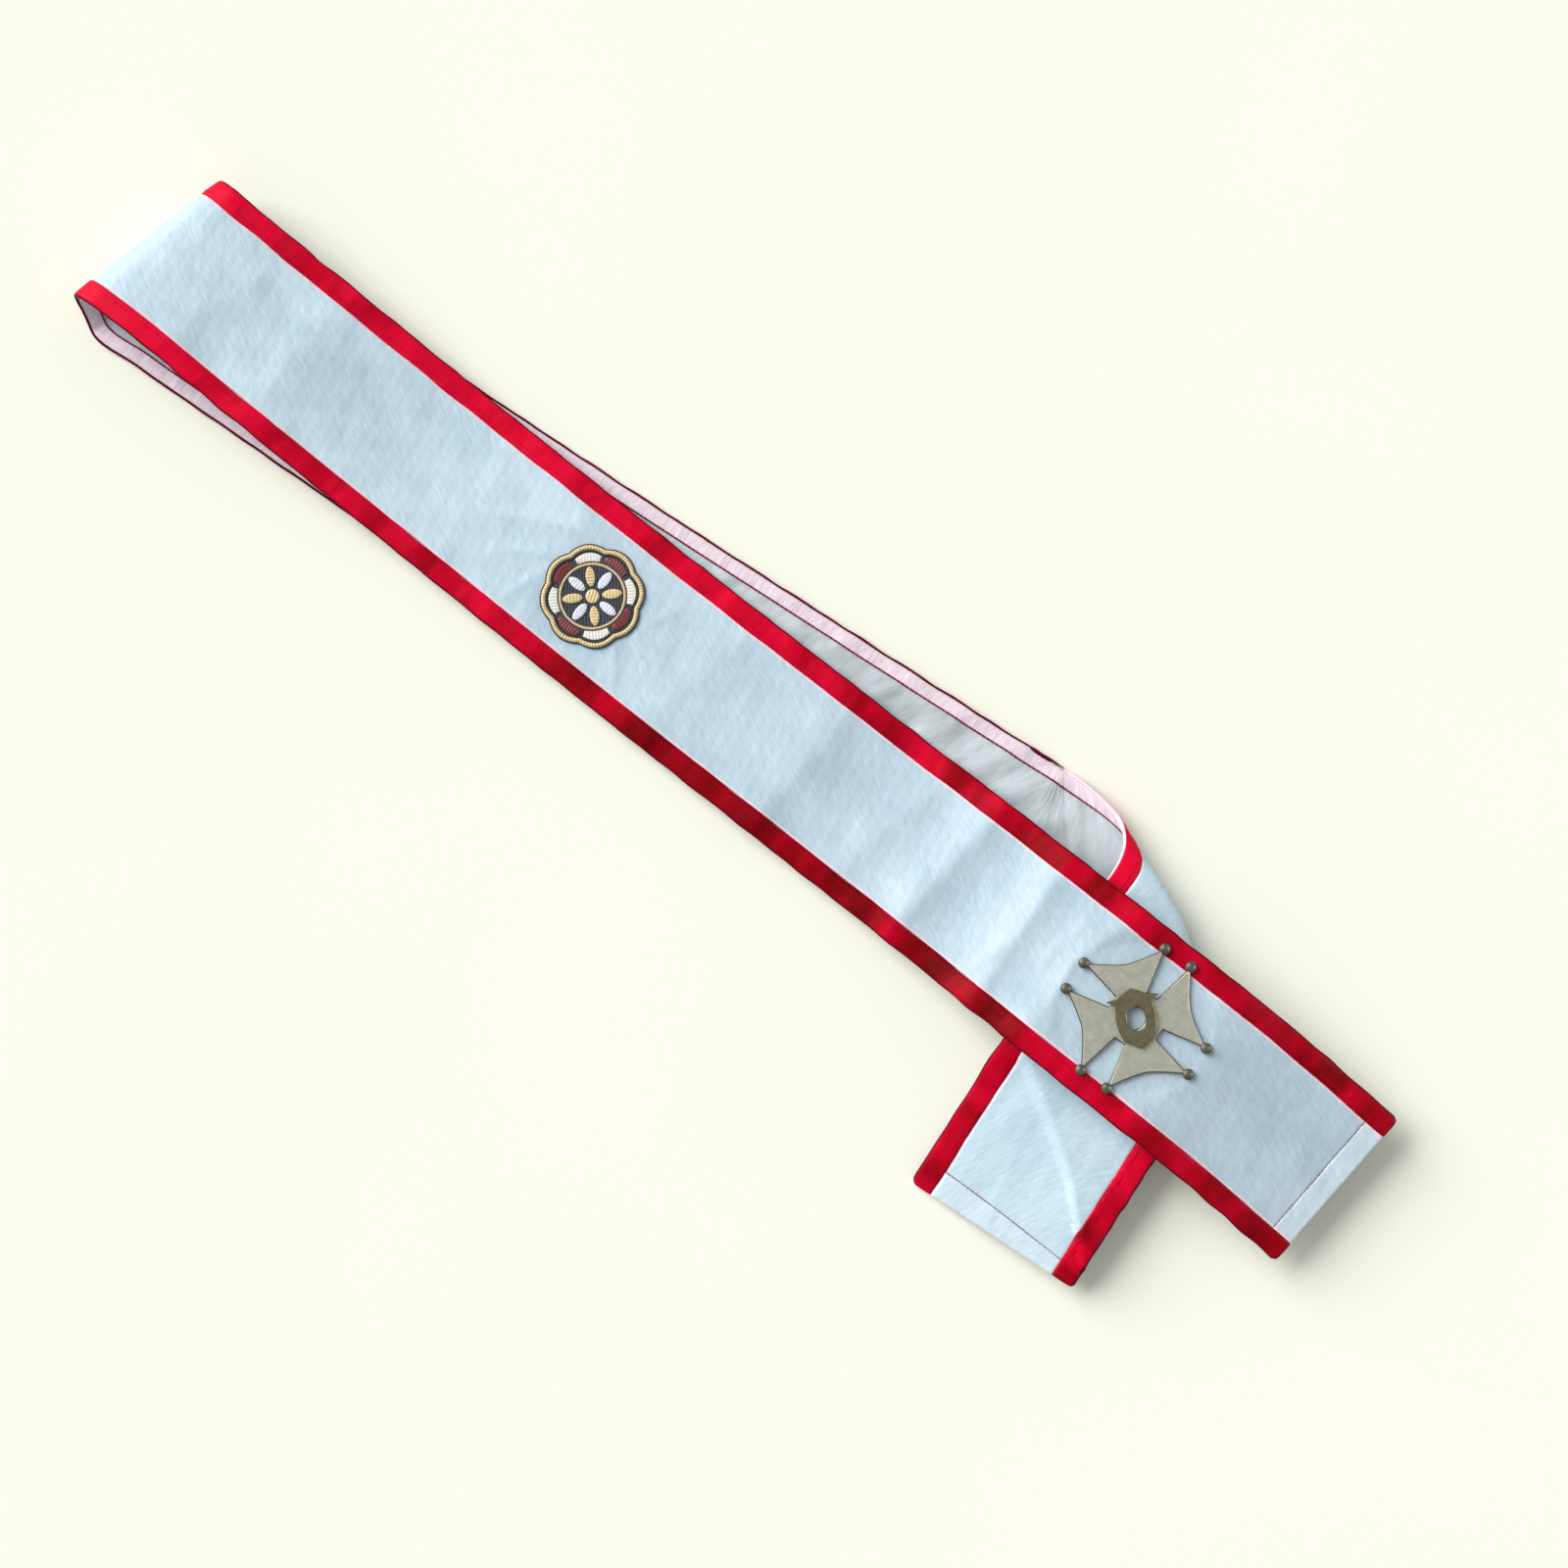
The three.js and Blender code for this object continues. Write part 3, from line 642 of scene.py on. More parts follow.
class Nodes:
    """Builds a material's node tree with short calls."""

    def __init__(self, name):
        self.material = bpy.data.materials.new(name)
        self.material.use_nodes = True
        self.tree = self.material.node_tree
        self.shader = self.tree.nodes["Principled BSDF"]

    def put(self, socket, value):
        """Link the socket to another one, or set its value."""
        if isinstance(value, bpy.types.NodeSocket):
            self.tree.links.new(value, socket)
        else:
            socket.default_value = value

    def add(self, kind, inputs, **settings):
        node = self.tree.nodes.new("ShaderNode" + kind)
        for key, value in settings.items():
            setattr(node, key, value)
        for key, value in inputs.items():
            self.put(node.inputs[key], value)
        return node

    def math(self, operation, a, b=0.0, c=0.0):
        return self.add("Math", {0: a, 1: b, 2: c}, operation=operation).outputs[0]

    def weighed(self, a, a_share, b, b_share):
        """The sum of two values, each times its share."""
        return self.math("ADD", self.math("MULTIPLY", a, a_share), self.math("MULTIPLY", b, b_share))

    def mix(self, share, a, b):
        """Colour a, and colour b where the share is 1."""
        return self.add("Mix", {0: share, 6: a, 7: b}, data_type="RGBA").outputs[2]

    def ramp(self, value, stops):
        node = self.add("ValToRGB", {"Fac": value})
        band = node.color_ramp
        while len(band.elements) < len(stops):
            band.elements.new(0.5)
        for element, (position, colour) in zip(band.elements, stops):
            element.position = position
            element.color = colour
        return node.outputs["Color"]

    def noise(self, vector, scale, detail=2.0, roughness=0.5):
        inputs = {"Vector": vector, "Scale": scale, "Detail": detail, "Roughness": roughness}
        return self.add("TexNoise", inputs).outputs["Fac"]

    def grain(self, vector, scale, turn=0.0, detail=2.0, roughness=0.5):
        """Noise scaled apart along its axes, of which the first points at turn degrees."""
        axes = self.add("Mapping", {"Vector": vector, "Rotation": (0, 0, math.radians(-turn))})
        scaled = self.add("Mapping", {"Vector": axes.outputs["Vector"], "Scale": scale})
        return self.noise(scaled.outputs["Vector"], 1.0, detail, roughness)

    def threads(self, vector, scale, distortion=0.0):
        """Even ridges that follow each other along the first axis."""
        inputs = {"Vector": vector, "Scale": scale, "Distortion": distortion}
        return self.add("TexWave", inputs, bands_direction="X").outputs["Fac"]

    def step(self, value, start, end):
        """0 before start, 1 beyond end, both in millimetres; start may be the larger."""
        inputs = {"Value": value, "From Min": start * MM, "From Max": end * MM}
        return self.add("MapRange", inputs).outputs["Result"]

    def object_axes(self):
        return self.add("TexCoord", {}).outputs["Object"]

    def cloth_map(self):
        return self.add("UVMap", {}, uv_map="cloth").outputs["UV"]

    def cloth_axes(self):
        """The cloth map, then metres along it and across it."""
        at = self.cloth_map()
        apart = self.add("SeparateXYZ", {"Vector": at})
        return at, apart.outputs["X"], apart.outputs["Y"]

    def bump(self, height, distance, strength=1.0, normal=None):
        inputs = {"Height": height, "Distance": distance, "Strength": strength}
        if normal is not None:
            inputs["Normal"] = normal
        return self.add("Bump", inputs).outputs["Normal"]

    def finish(self, colour, normal=None, **values):
        for key, value in [("Base Color", colour), ("Normal", normal), *values.items()]:
            if value is not None:
                self.put(self.shader.inputs[key.replace("_", " ")], value)
        return self.material


def srgb(red, green, blue):
    """A colour given as 0-255 screen values, for a shader socket."""
    parts = [c / 255 for c in (red, green, blue)]
    return (*[c / 12.92 if c <= 0.04045 else ((c + 0.055) / 1.055) ** 2.4 for c in parts], 1)


def grey(level):
    return (level, level, level, 1)


# Direction of the cloth's streaks, and the pale pink of the painted highlight at its seams and on the
# ribbons' edges at the turn
STREAK_TURN = 25
PINK_HIGHLIGHT = srgb(255, 226, 236)

# Where along the cloth the painted shade on its front end gives way to its full tone, how far from the
# ribbon the painted pink highlight at its seams starts and is full, and half the breadth of the line where a
# hem's tone starts, in millimetres
SHADED_END = (300, 620)
SEAM_HIGHLIGHT = (1.5, 0.9)
HEM_LINE = 0.3


def cloth_material():
    """Fine satin-faced cloth: crinkles, weave, a slow change of tone, painted shade towards its front end
    and a painted pink highlight at its seams.
    """
    n = Nodes("white_cloth")
    at, along, over = n.cloth_axes()
    slow = n.grain(at, (9, 22, 1))
    streaks = n.grain(at, (120, 620, 1), STREAK_TURN, 3.0, 0.6)
    tone = n.weighed(slow, 0.5, streaks, 0.5)
    # Painted shade: a darker colour on the front end of the cloth, giving way to its full tone further
    # along.
    shaded_end = n.ramp(tone, [(0.36, srgb(171, 194, 208)), (0.64, srgb(194, 214, 226))])
    unshaded = n.ramp(tone, [(0.36, srgb(183, 209, 222)), (0.64, srgb(205, 227, 238))])
    colour = n.mix(n.step(along, *SHADED_END), shaded_end, unshaded)
    last = strap.length - HEM
    first_hem = n.step(along, HEM + HEM_LINE, HEM - HEM_LINE)
    last_hem = n.step(along, last - HEM_LINE, last + HEM_LINE)
    doubled = n.ramp(streaks, [(0.3, srgb(198, 218, 229)), (0.7, srgb(213, 230, 239))])
    colour = n.mix(n.math("MAXIMUM", first_hem, last_hem), colour, doubled)
    # Painted highlight: a pale pink line on the cloth beside each ribbon.
    seam = n.step(n.math("ABSOLUTE", over), *[FACE_HALF - inset for inset in SEAM_HIGHLIGHT])
    colour = n.mix(seam, colour, PINK_HIGHLIGHT)
    normal = n.bump(n.grain(at, (130, 420, 1), STREAK_TURN, 3.0, 0.6), 0.0003, 0.9)
    normal = n.bump(n.threads(at, 330.0), 0.00003, 0.5, normal)
    return n.finish(colour, normal, Roughness=0.45, Specular_IOR_Level=0.4)


# Painted sheen and shade of the ribbons' satin: how bright it shows along the strap, in metres from the
# front end, and the painted shade on the last stretch of the leg, with the millimetres where that starts and
# is full
LOWER_PAINTED_SHEEN = [(0, 0.34), (0.13, 0.52), (0.21, 0.36), (0.46, 0.36), (0.55, 0.46), (0.78, 0.6)]
UPPER_PAINTED_SHEEN = [(0, 0.4), (0.2, 0.44), (0.32, 0.46), (0.45, 0.54), (0.55, 0.57)]
LEG_PAINTED_SHADE = 0.47
LEG_PAINTED_SHADE_FROM = (1640, 1740)

# The satin's reds from its darkest to its brightest tone
RIBBON_REDS = [
    (0.28, srgb(106, 0, 6)),
    (0.4, srgb(150, 0, 18)),
    (0.5, srgb(194, 0, 38)),
    (0.62, srgb(228, 8, 52)),
]

# Across the unrolled ribbon, from the strap's middle: the painted shade line at the seam, and the rim and
# the lip, painted dark as shade and pale as a highlight at the turn
RIBBON_SEAM_SHADE = (38.8, 38.4)
RIBBON_RIM = (50.5, 51.0)
RIBBON_LIP = (52.4, 52.8)

# Where along the strap the ribbons' edges carry a painted highlight, at the turn, and over what length this
# fades
TURN_HIGHLIGHT = (strap.turn_start - 30, strap.leg_start + 10)
HIGHLIGHT_FADE = 10


def ribbon_material():
    """Red satin with painted sheen and shade along the strap, and painted shade on its edges that turns to a
    painted highlight at the turn.
    """
    n = Nodes("red_ribbon")
    at, along, over = n.cloth_axes()
    side = n.math("ABSOLUTE", over)
    # Painted sheen and shade: each ribbon brighter and darker along the strap, and darker on the last
    # stretch of the leg.
    lower_sheen = n.ramp(along, [(place, grey(shade)) for place, shade in LOWER_PAINTED_SHEEN])
    upper_sheen = n.ramp(along, [(place, grey(shade)) for place, shade in UPPER_PAINTED_SHEEN])
    shade = n.mix(n.step(over, 1, -1), upper_sheen, lower_sheen)
    shade = n.mix(n.step(along, *LEG_PAINTED_SHADE_FROM), shade, grey(LEG_PAINTED_SHADE))
    change = n.weighed(n.grain(at, (38, 18, 1)), 0.66, n.grain(at, (230, 1500, 1)), 0.14)
    tone = n.math("ADD", shade, n.math("SUBTRACT", change, 0.4))
    colour = n.ramp(tone, RIBBON_REDS)
    # Painted shade: a dark line where the ribbon's edge turns under at the seam.
    colour = n.mix(n.step(side, *RIBBON_SEAM_SHADE), colour, srgb(130, 0, 18))
    first, last = TURN_HIGHLIGHT
    starts = n.step(along, first, first + HIGHLIGHT_FADE)
    turn = n.math("MULTIPLY", starts, n.step(along, last, last - HIGHLIGHT_FADE))
    # Painted shade on the rim and the lip, which carry a painted pale pink highlight at the turn instead.
    colour = n.mix(n.step(side, *RIBBON_RIM), colour, n.mix(turn, srgb(104, 2, 20), PINK_HIGHLIGHT))
    colour = n.mix(n.step(side, *RIBBON_LIP), colour, n.mix(turn, srgb(92, 8, 26), PINK_HIGHLIGHT))
    normal = n.bump(n.threads(at, 260.0), 0.00004, 0.5)
    normal = n.bump(n.grain(at, (160, 60, 1)), 0.0004, 0.5, normal)
    return n.finish(colour, normal, Roughness=0.45, Specular_IOR_Level=0.05)


# Direction of the lining's creases, its greys with painted pucker shade, and where from the strap's middle
# the ribbon shows through
LINING_TURN = 60
LINING_GREYS_AND_SHADE = [(0.34, srgb(172, 184, 186)), (0.5, srgb(194, 203, 207)), (0.66, srgb(210, 219, 223))]
LINING_PINK = (40.4, 41.4)


def lining_material():
    """Grey-white lining with painted pucker shade in streaks along its creases, and the ribbon showing pink
    through it beyond the seam.
    """
    n = Nodes("lining_cloth")
    at, along, over = n.cloth_axes()
    # Painted shade: the greys fall in streaks along the creases, standing in for the shade of puckers.
    plain = n.ramp(n.grain(at, (26, 70, 1), LINING_TURN, 3.0, 0.45), LINING_GREYS_AND_SHADE)
    pink = n.ramp(n.grain(at, (900, 60, 1)), [(0.3, srgb(222, 200, 211)), (0.7, srgb(243, 229, 238))])
    colour = n.mix(n.step(n.math("ABSOLUTE", over), *LINING_PINK), plain, pink)
    normal = n.bump(n.grain(at, (90, 220, 1), LINING_TURN, 3.0, 0.55), 0.0006, 0.9)
    return n.finish(colour, normal, Roughness=0.6, Specular_IOR_Level=0.3)


def thread_material(name, colour):
    n = Nodes(name)
    twist = n.noise(n.object_axes(), 2600.0, 1.0)
    shade = tuple(c * 0.6 for c in colour[:3]) + (1,)
    tint = n.ramp(twist, [(0.35, shade), (0.65, colour)])
    return n.finish(tint, n.bump(twist, 0.0001), Roughness=0.7, Specular_IOR_Level=0.08)


def satin_stitch(name, dark, light):
    """Embroidery thread laid side by side along the cloth map's first axis."""
    n = Nodes(name)
    at = n.cloth_map()
    threads = n.threads(at, 180.0, 1.2)
    tone = n.weighed(n.grain(at, (1500, 160, 1)), 0.6, threads, 0.4)
    colour = n.ramp(tone, [(0.25, dark), (0.6, light)])
    return n.finish(colour, n.bump(threads, 0.00018, 0.9), Roughness=0.42, Sheen_Weight=0.1)


def metal_material(name, light, dark, roughness, metallic=0.55):
    n = Nodes(name)
    at = n.object_axes()
    grain = n.grain(at, (900, 2600, 900), 20, 3.0, 0.6)
    tone = n.weighed(n.noise(at, 260.0, 4.0, 0.6), 0.45, grain, 0.55)
    colour = n.ramp(tone, [(0.36, dark), (0.62, light)])
    rough = n.math("MULTIPLY_ADD", grain, 0.2, roughness - 0.1)
    return n.finish(colour, n.bump(grain, 0.00008, 0.5), Metallic=metallic, Roughness=rough)


def floor_material():
    n = Nodes("pale_table")
    tone = n.noise(n.object_axes(), 3.0)
    colour = n.ramp(tone, [(0.3, (0.94, 0.948, 0.832, 1)), (0.7, (0.95, 0.958, 0.842, 1))])
    return n.finish(colour, Roughness=0.9, Specular_IOR_Level=0.0)


WHITE_CLOTH = cloth_material()
RED_RIBBON = ribbon_material()
LINING_CLOTH = lining_material()
MAROON_THREAD = thread_material("maroon_thread", srgb(146, 38, 72))
ROSE_THREAD = thread_material("rose_thread", srgb(158, 96, 120))
RED_THREAD = thread_material("red_thread", srgb(206, 3, 46))
GOLD_THREAD = satin_stitch("gold_thread", srgb(196, 160, 92), srgb(238, 218, 170))
BLACK_THREAD = satin_stitch("black_thread", srgb(18, 22, 34), srgb(44, 50, 66))
WINE_THREAD = satin_stitch("wine_thread", srgb(84, 18, 26), srgb(128, 44, 46))
CREAM_THREAD = satin_stitch("cream_thread", srgb(206, 208, 204), srgb(248, 246, 232))
SILVER_THREAD = satin_stitch("silver_thread", srgb(190, 198, 222), srgb(242, 246, 255))
CAST_METAL = metal_material("cast_metal", srgb(186, 187, 172), srgb(160, 161, 145), 0.46, 0.35)
EDGE_METAL = metal_material("edge_metal", srgb(128, 123, 102), srgb(92, 88, 70), 0.32, 0.95)
DARK_METAL = metal_material("dark_metal", srgb(122, 115, 90), srgb(92, 85, 64), 0.45)
BALL_METAL = metal_material("ball_metal", srgb(112, 111, 98), srgb(66, 68, 60), 0.45)


def dress(piece, material):
    piece.data.materials.clear()
    piece.data.materials.append(material)
    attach(piece, "root")
    return piece


# Cloth layers

# Rows and columns of the sheets: even rows, close ones at the free ends and the hems' stitches, and the
# room kept between the two
ROW_STEP = 1.4
END_ROWS = (0, 0.12, 0.35, 0.7, 1.2, 1.9, 2.8, 3.8)
HEM_ROWS = (-1.2, -0.7, -0.4, -0.15, 0.15, 0.4, 0.7, 1.2)
HEM_CLEAR = 1.6
LAST_CLEAR = 1
FACE_COLUMNS = 56
LINING_COLUMNS = 44
INNER_COLUMNS = 8
FACE_EDGE = FACE_HALF - 0.1
LINING_HALF = HALF - 0.9

# How thin each sheet is at a free end, and how far from it it is full
FACE_END = (0.2, 1.3)
LINING_END = (0.3, 1.2)
RIBBON_END = (0.15, 1.1)

# Hems: rise of the doubled cloth, breadth and start of its step, and the groove of the stitches
HEM_RISE = 0.4
HEM_STEP = 0.8
HEM_START = 0.4
GROOVE = 0.3
GROOVE_BREADTH = 0.5

# Small puckers in the hems: which end, place across, breadth and height; then how they lean and fade
HEM_PUCKERS = [
    ("front", 9, 1.4, 0.35),
    ("front", 4, 1.0, 0.2),
    ("front", -22, 1.8, 0.4),
    ("leg", 4, 1.6, 0.2),
]
PUCKER_LEAN = 0.3
PUCKER_BEYOND = 1
PUCKER_FADE = 3

# Seams: depth and breadth of the dip on the face and the lining, how far the lining gathers beside its
# seam, the seam's distance from the strap's edge, and how fast its wobble and the streaks die out
SEAM_DIP = 0.25
FACE_SEAM_BREADTH = 0.7
LINING_SEAM_BREADTH = 0.8
GATHER_REACH = 7
SEAM_IN = 9.6
WOBBLE_POWER = 6
LEG_STREAK_LOSS = 0.6


def strap_sections():
    """Places along the strap for the rows of a mesh."""
    close = [*END_ROWS, *[HEM + step for step in HEM_ROWS]]
    even = np.arange(END_ROWS[-1] + ROW_STEP, strap.length - END_ROWS[-1] - LAST_CLEAR, ROW_STEP)
    even = even[np.abs(strap.to_end(even) - HEM) > HEM_CLEAR]
    return np.sort(np.concatenate([close, strap.length - np.array(close), even]))


def end_round(s, reach):
    """0 at a free end rising to 1 at reach from it, as a quarter circle."""
    t = np.clip(strap.to_end(s) / reach, 0, 1)
    return np.sqrt(1 - (1 - t) ** 2)


def end_share(s, least, reach):
    """The least share at a free end, rising to 1 at reach from it."""
    return least + (1 - least) * end_round(s, reach)


def hem(s):
    """The doubled cloth at both ends, drawn in along its stitches."""
    inside = HEM - strap.to_end(s)
    return HEM_RISE * smooth(inside / HEM_STEP + HEM_START) - GROOVE * bell(inside, GROOVE_BREADTH)


def hem_puckers(s, w):
    height = np.zeros(np.broadcast_shapes(s.shape, w.shape))
    for end, place, breadth, rise in HEM_PUCKERS:
        to_end = s if end == "front" else strap.length - s
        lean = w - place - PUCKER_LEAN * (to_end - HEM / 2)
        height += rise * bell(lean, breadth) * smooth((HEM + PUCKER_BEYOND - to_end) / PUCKER_FADE)
    return height


def seam_wobble(s, side):
    """How far the seam beside a ribbon strays from its straight line."""
    return crinkles(s, 0, SEAM_WOBBLE, side)


def band_piece():
    s = strap_sections()[:, None]
    u = np.linspace(-1, 1, FACE_COLUMNS + 1)[None, :]
    flat_w = u * FACE_EDGE
    w = flat_w
    for side in (1, -1):
        w = w + seam_wobble(s, side) * np.clip(side * u, 0, 1) ** WOBBLE_POWER
    streaks = crinkles(s, w, FINE_STREAKS) + crinkles(s, w, STREAKS)
    streaks = streaks * (1 - LEG_STREAK_LOSS * strap.leg_share(s))
    seams = SEAM_DIP * bell((1 - np.abs(u)) * FACE_HALF, FACE_SEAM_BREADTH)
    rise = CLOTH + hem(s) + hem_puckers(s, w) + streaks + crinkles(s, w, FACE_CREASES) - seams
    top = strap.place(s, w, FACE_IN + rise * end_share(s, *FACE_END))
    under = np.linspace(w[:, 0], w[:, -1], INNER_COLUMNS + 1, axis=1)
    bottom = strap.place(s, under, FACE_IN)
    piece = closed_sheet("white_band", top, bottom, flat_map(s, flat_w), flat_map(s, under))
    return dress(piece, WHITE_CLOTH)


def lining_piece():
    s = strap_sections()[:, None]
    w = np.linspace(-LINING_HALF, LINING_HALF, LINING_COLUMNS + 1)[None, :]
    seam = np.abs(w) - (HALF - SEAM_IN)
    gather = crinkles(s, w, LINING_GATHER) * bell(seam, GATHER_REACH)
    dip = SEAM_DIP * bell(seam, LINING_SEAM_BREADTH)
    rise = CLOTH + gather + crinkles(s, w, LINING_CREASES) - dip
    outer = strap.place(s, w, LINING_IN - rise * end_share(s, *LINING_END))
    under = np.linspace(-LINING_HALF, LINING_HALF, INNER_COLUMNS + 1)[None, :]
    inner = strap.place(s, under, LINING_IN)
    piece = closed_sheet("lining_sheet", outer, inner, flat_map(s, w), flat_map(s, under))
    return dress(piece, LINING_CLOTH)


# The ribbon's section, from its seam on the face, round the edge of the strap, to its lip on the
# lining: place across of its outer and inner faces from the seam, and their heights
TRIM_SECTION = [
    (0.0, 0.5, 0.15, 0.15),
    (0.1, 1.3, 0.3, 0.15),
    (0.5, 1.62, 0.6, 0.15),
    (1.8, 1.7, 1.8, 0.15),
    (4.2, 1.74, 4.2, 0.15),
    (6.8, 1.74, 6.8, 0.15),
    (9.4, 1.7, 9.4, 0.15),
    (11.2, 1.55, 11.2, 0.1),
    (12.1, 1.2, 11.8, -0.1),
    (12.6, 0.6, 11.95, -0.4),
    (12.7, -0.3, 12.0, -0.8),
    (12.45, -1.05, 11.95, -1.1),
    (11.9, -1.4, 11.8, -1.2),
    (11.3, -1.4, 11.35, -1.2),
]
END_CORNER = 3.6
SEAM_CORNER = 1.2

# The ripple's share of the section: from this height on its outer face it fades in; then the hem's share
RIPPLE_FROM = 0.7
RIPPLE_RAMP = 0.8
RIBBON_HEM_SHARE = 0.35


def trim_piece(name, side):
    """One ribbon: it lies beside the band, wraps round the strap's edge and ends in round corners."""
    rows = np.array(TRIM_SECTION)
    across_face, outer, across_back, inner = rows.T
    s = strap_sections()[:, None]
    beyond_seam = across_face / TRIM_WIDTH
    near_seam = (1 - beyond_seam) ** 4
    corner = END_CORNER * (1 - end_round(s, END_CORNER)) * beyond_seam**2
    corner = corner - SEAM_CORNER * (1 - end_round(s, SEAM_CORNER)) * near_seam
    stray = crinkles(s, 0, EDGE_WOBBLE, side) * beyond_seam**4 + seam_wobble(s, side) * near_seam
    face = FACE_HALF + across_face + stray - corner
    back = FACE_HALF + across_back + stray - corner
    on_face = np.clip((outer - RIPPLE_FROM) / RIPPLE_RAMP, 0, 1)
    ripple = crinkles(s, side * face, RIBBON_RIPPLE, side)
    ripple = ripple + crinkles(s, side * face, RIBBON_CREASES, side)
    middle = (outer + inner) / 2
    height = outer + (ripple + RIBBON_HEM_SHARE * hem(s)) * on_face
    height = middle + (height - middle) * end_share(s, *RIBBON_END)
    steps = np.hypot(np.diff(across_face), np.diff(outer))
    unrolled = FACE_HALF + np.concatenate([[0], np.cumsum(steps)])
    top = strap.place(s, side * face, height)
    bottom = strap.place(s, side * back, inner)
    flat = flat_map(s, side * unrolled)
    piece = closed_sheet(name, top, bottom, flat, flat)
    return dress(piece, RED_RIBBON)


# Thread: each stitch is a short capsule that dips into the cloth at both ends

STITCH_PITCH = 3.0
STITCH_SIDES = 6

# A stitch from end to end: place along it, radius and lift
STITCH_SHAPE = [
    (-1.45, 0.14, -0.1),
    (-1.25, 0.25, 0.05),
    (0, 0.27, 0.12),
    (1.25, 0.25, 0.05),
    (1.45, 0.14, -0.1),
]

# Height over the middle surface and size of each kind of stitch
LINING_STITCH = (LINING_OUT - 0.2, 2.0)
RIBBON_STITCH = (1.66, 0.6)
HEM_STITCH = (FACE_OUT - 0.1, 1.0)

# Free length before the first stitch of a seam, and before the first and after the last of a hem
SEAM_MARGIN = 4
HEM_MARGINS = (2, 1)


def stitch_line(name, s, w, kind, across_strap, material):
    """Stitches centred at s and w over or under the middle surface, running along or across the strap."""
    height, size = kind
    s, w = [a[:, None, None] for a in np.broadcast_arrays(s, w)]
    along, radius, lift = [a[None, :, None] for a in np.array(STITCH_SHAPE).T]
    radius = radius * size
    angle = circle(STITCH_SIDES)
    side = radius * np.cos(angle)
    up = height + np.sign(height) * (lift + radius * np.sin(angle))
    if across_strap:
        points = strap.place(s + side, w + along, up)
    else:
        points = strap.place(s + along, w + side, up)
    faces = []
    rings = len(STITCH_SHAPE)
    for i in range(len(s)):
        index = numbered(i * rings * STITCH_SIDES, rings, STITCH_SIDES)
        faces += tube(index) + [index[0].tolist(), index[-1].tolist()]
    piece = new_mesh(name, places(points.reshape(-1, 3)), faces)
    return dress(piece, material)


def seam_stitches():
    """The seams along both edges, on the lining and, in red, on the ribbons."""
    s = np.arange(SEAM_MARGIN, strap.length - SEAM_MARGIN, STITCH_PITCH)
    for side, word in ((-1, "lower"), (1, "upper")):
        seam = side * (HALF - SEAM_IN)
        stitch_line(word + "_seam_stitches", s, seam, LINING_STITCH, False, MAROON_THREAD)
        stitch_line(word + "_ribbon_stitches", s, seam, RIBBON_STITCH, False, RED_THREAD)


def hem_stitches():
    first, last = HEM_MARGINS
    w = np.arange(first - FACE_HALF, FACE_HALF - last, STITCH_PITCH)
    for s, word in ((HEM, "front"), (strap.length - HEM, "leg")):
        stitch_line(word + "_hem_stitches", s, w, HEM_STITCH, True, ROSE_THREAD)


band = band_piece()
lining = lining_piece()
lower_trim = trim_piece("lower_ribbon", -1)
upper_trim = trim_piece("upper_ribbon", 1)
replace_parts(band, "band")
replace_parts(lining, "lining")
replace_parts(lower_trim, "lower_trim")
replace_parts(upper_trim, "upper_trim")
seam_stitches()
hem_stitches()


# Patch: a scalloped rosette of satin stitch on black ground

PATCH_RADIUS = 30.0
PATCH_LOBES = 8
PATCH_LOBE_DEPTH = 2.0
PATCH_S = strap.at_x(PATCH_X)
PATCH_W = -0.8

# Black ground: underside, rise and top, and its inset from the outline
GROUND_LOW = 0.03
GROUND = 1.0
GROUND_INSET = 0.8
GROUND_POINTS = 160
GROUND_GRAIN = 0.7

# A raised field from its foot to near its middle: share of its outline and of its height
PAD_RINGS = [(1.0, 0.0), (1.0, 0.45), (0.96, 0.72), (0.88, 0.88), (0.72, 0.97), (0.5, 1.0), (0.25, 1.0)]

# Cords: the section's points, the steps round the patch, how the threads slant, and where ribs start
CORD_POINTS = 9
CORD_STEPS = 900
CORD_SLANT = 0.35
RIB_FROM = 0.3

# Rings of cord: name, inset from the outline or else the radius of a circle, breadth, underside, top,
# number and depth of the ribs, thread
PATCH_CORDS = [
    ("patch_rim", 2.1, None, 3.1, 0.05, 2.0, 200, 0.07, GOLD_THREAD),
    ("patch_rim_cord", 0.35, None, 0.95, 0.02, 1.25, 260, 0.12, BLACK_THREAD),
    ("patch_inner_cord", 3.95, None, 0.8, 0.6, 1.75, 230, 0.12, BLACK_THREAD),
    ("patch_circle", None, 18.4, 1.5, 0.8, 1.75, 130, 0.08, GOLD_THREAD),
]

# Fields between the circle and the rim: inner radius, inset from the outline, share of the angle at the
# rim and at the root, and rise
FIELD_INNER = 19.9
FIELD_INSET = 5.1
FIELD_SHARE = 0.86
FIELD_ROOT = 0.94
FIELD_POINTS = 10
FIELD_RISE = 0.5

# Petals and eye: where a petal's middle lies, half sizes, rises, and the direction of the eye's threads
PETAL_AT = 11.3
PETAL_LONG = 5.6
PETAL_WIDE = 2.7
PETAL_POINTS = 28
PETAL_RISE = 1.0
EYE_RADIUS = 4
EYE_POINTS = 40
EYE_RISE = 1.1
EYE_GRAIN = 0.4


def scallop(angle, inset=0.0):
    """Radius of the scalloped outline at an angle, less an inset."""
    return PATCH_RADIUS - inset - PATCH_LOBE_DEPTH * (1 - np.abs(np.cos(PATCH_LOBES * angle / 2)))


def on_cloth(points):
    """Points given from the patch's middle, in its own axes, as table millimetres."""
    return strap.place(PATCH_S - points[..., 0], PATCH_W + points[..., 1], FACE_OUT + points[..., 2])


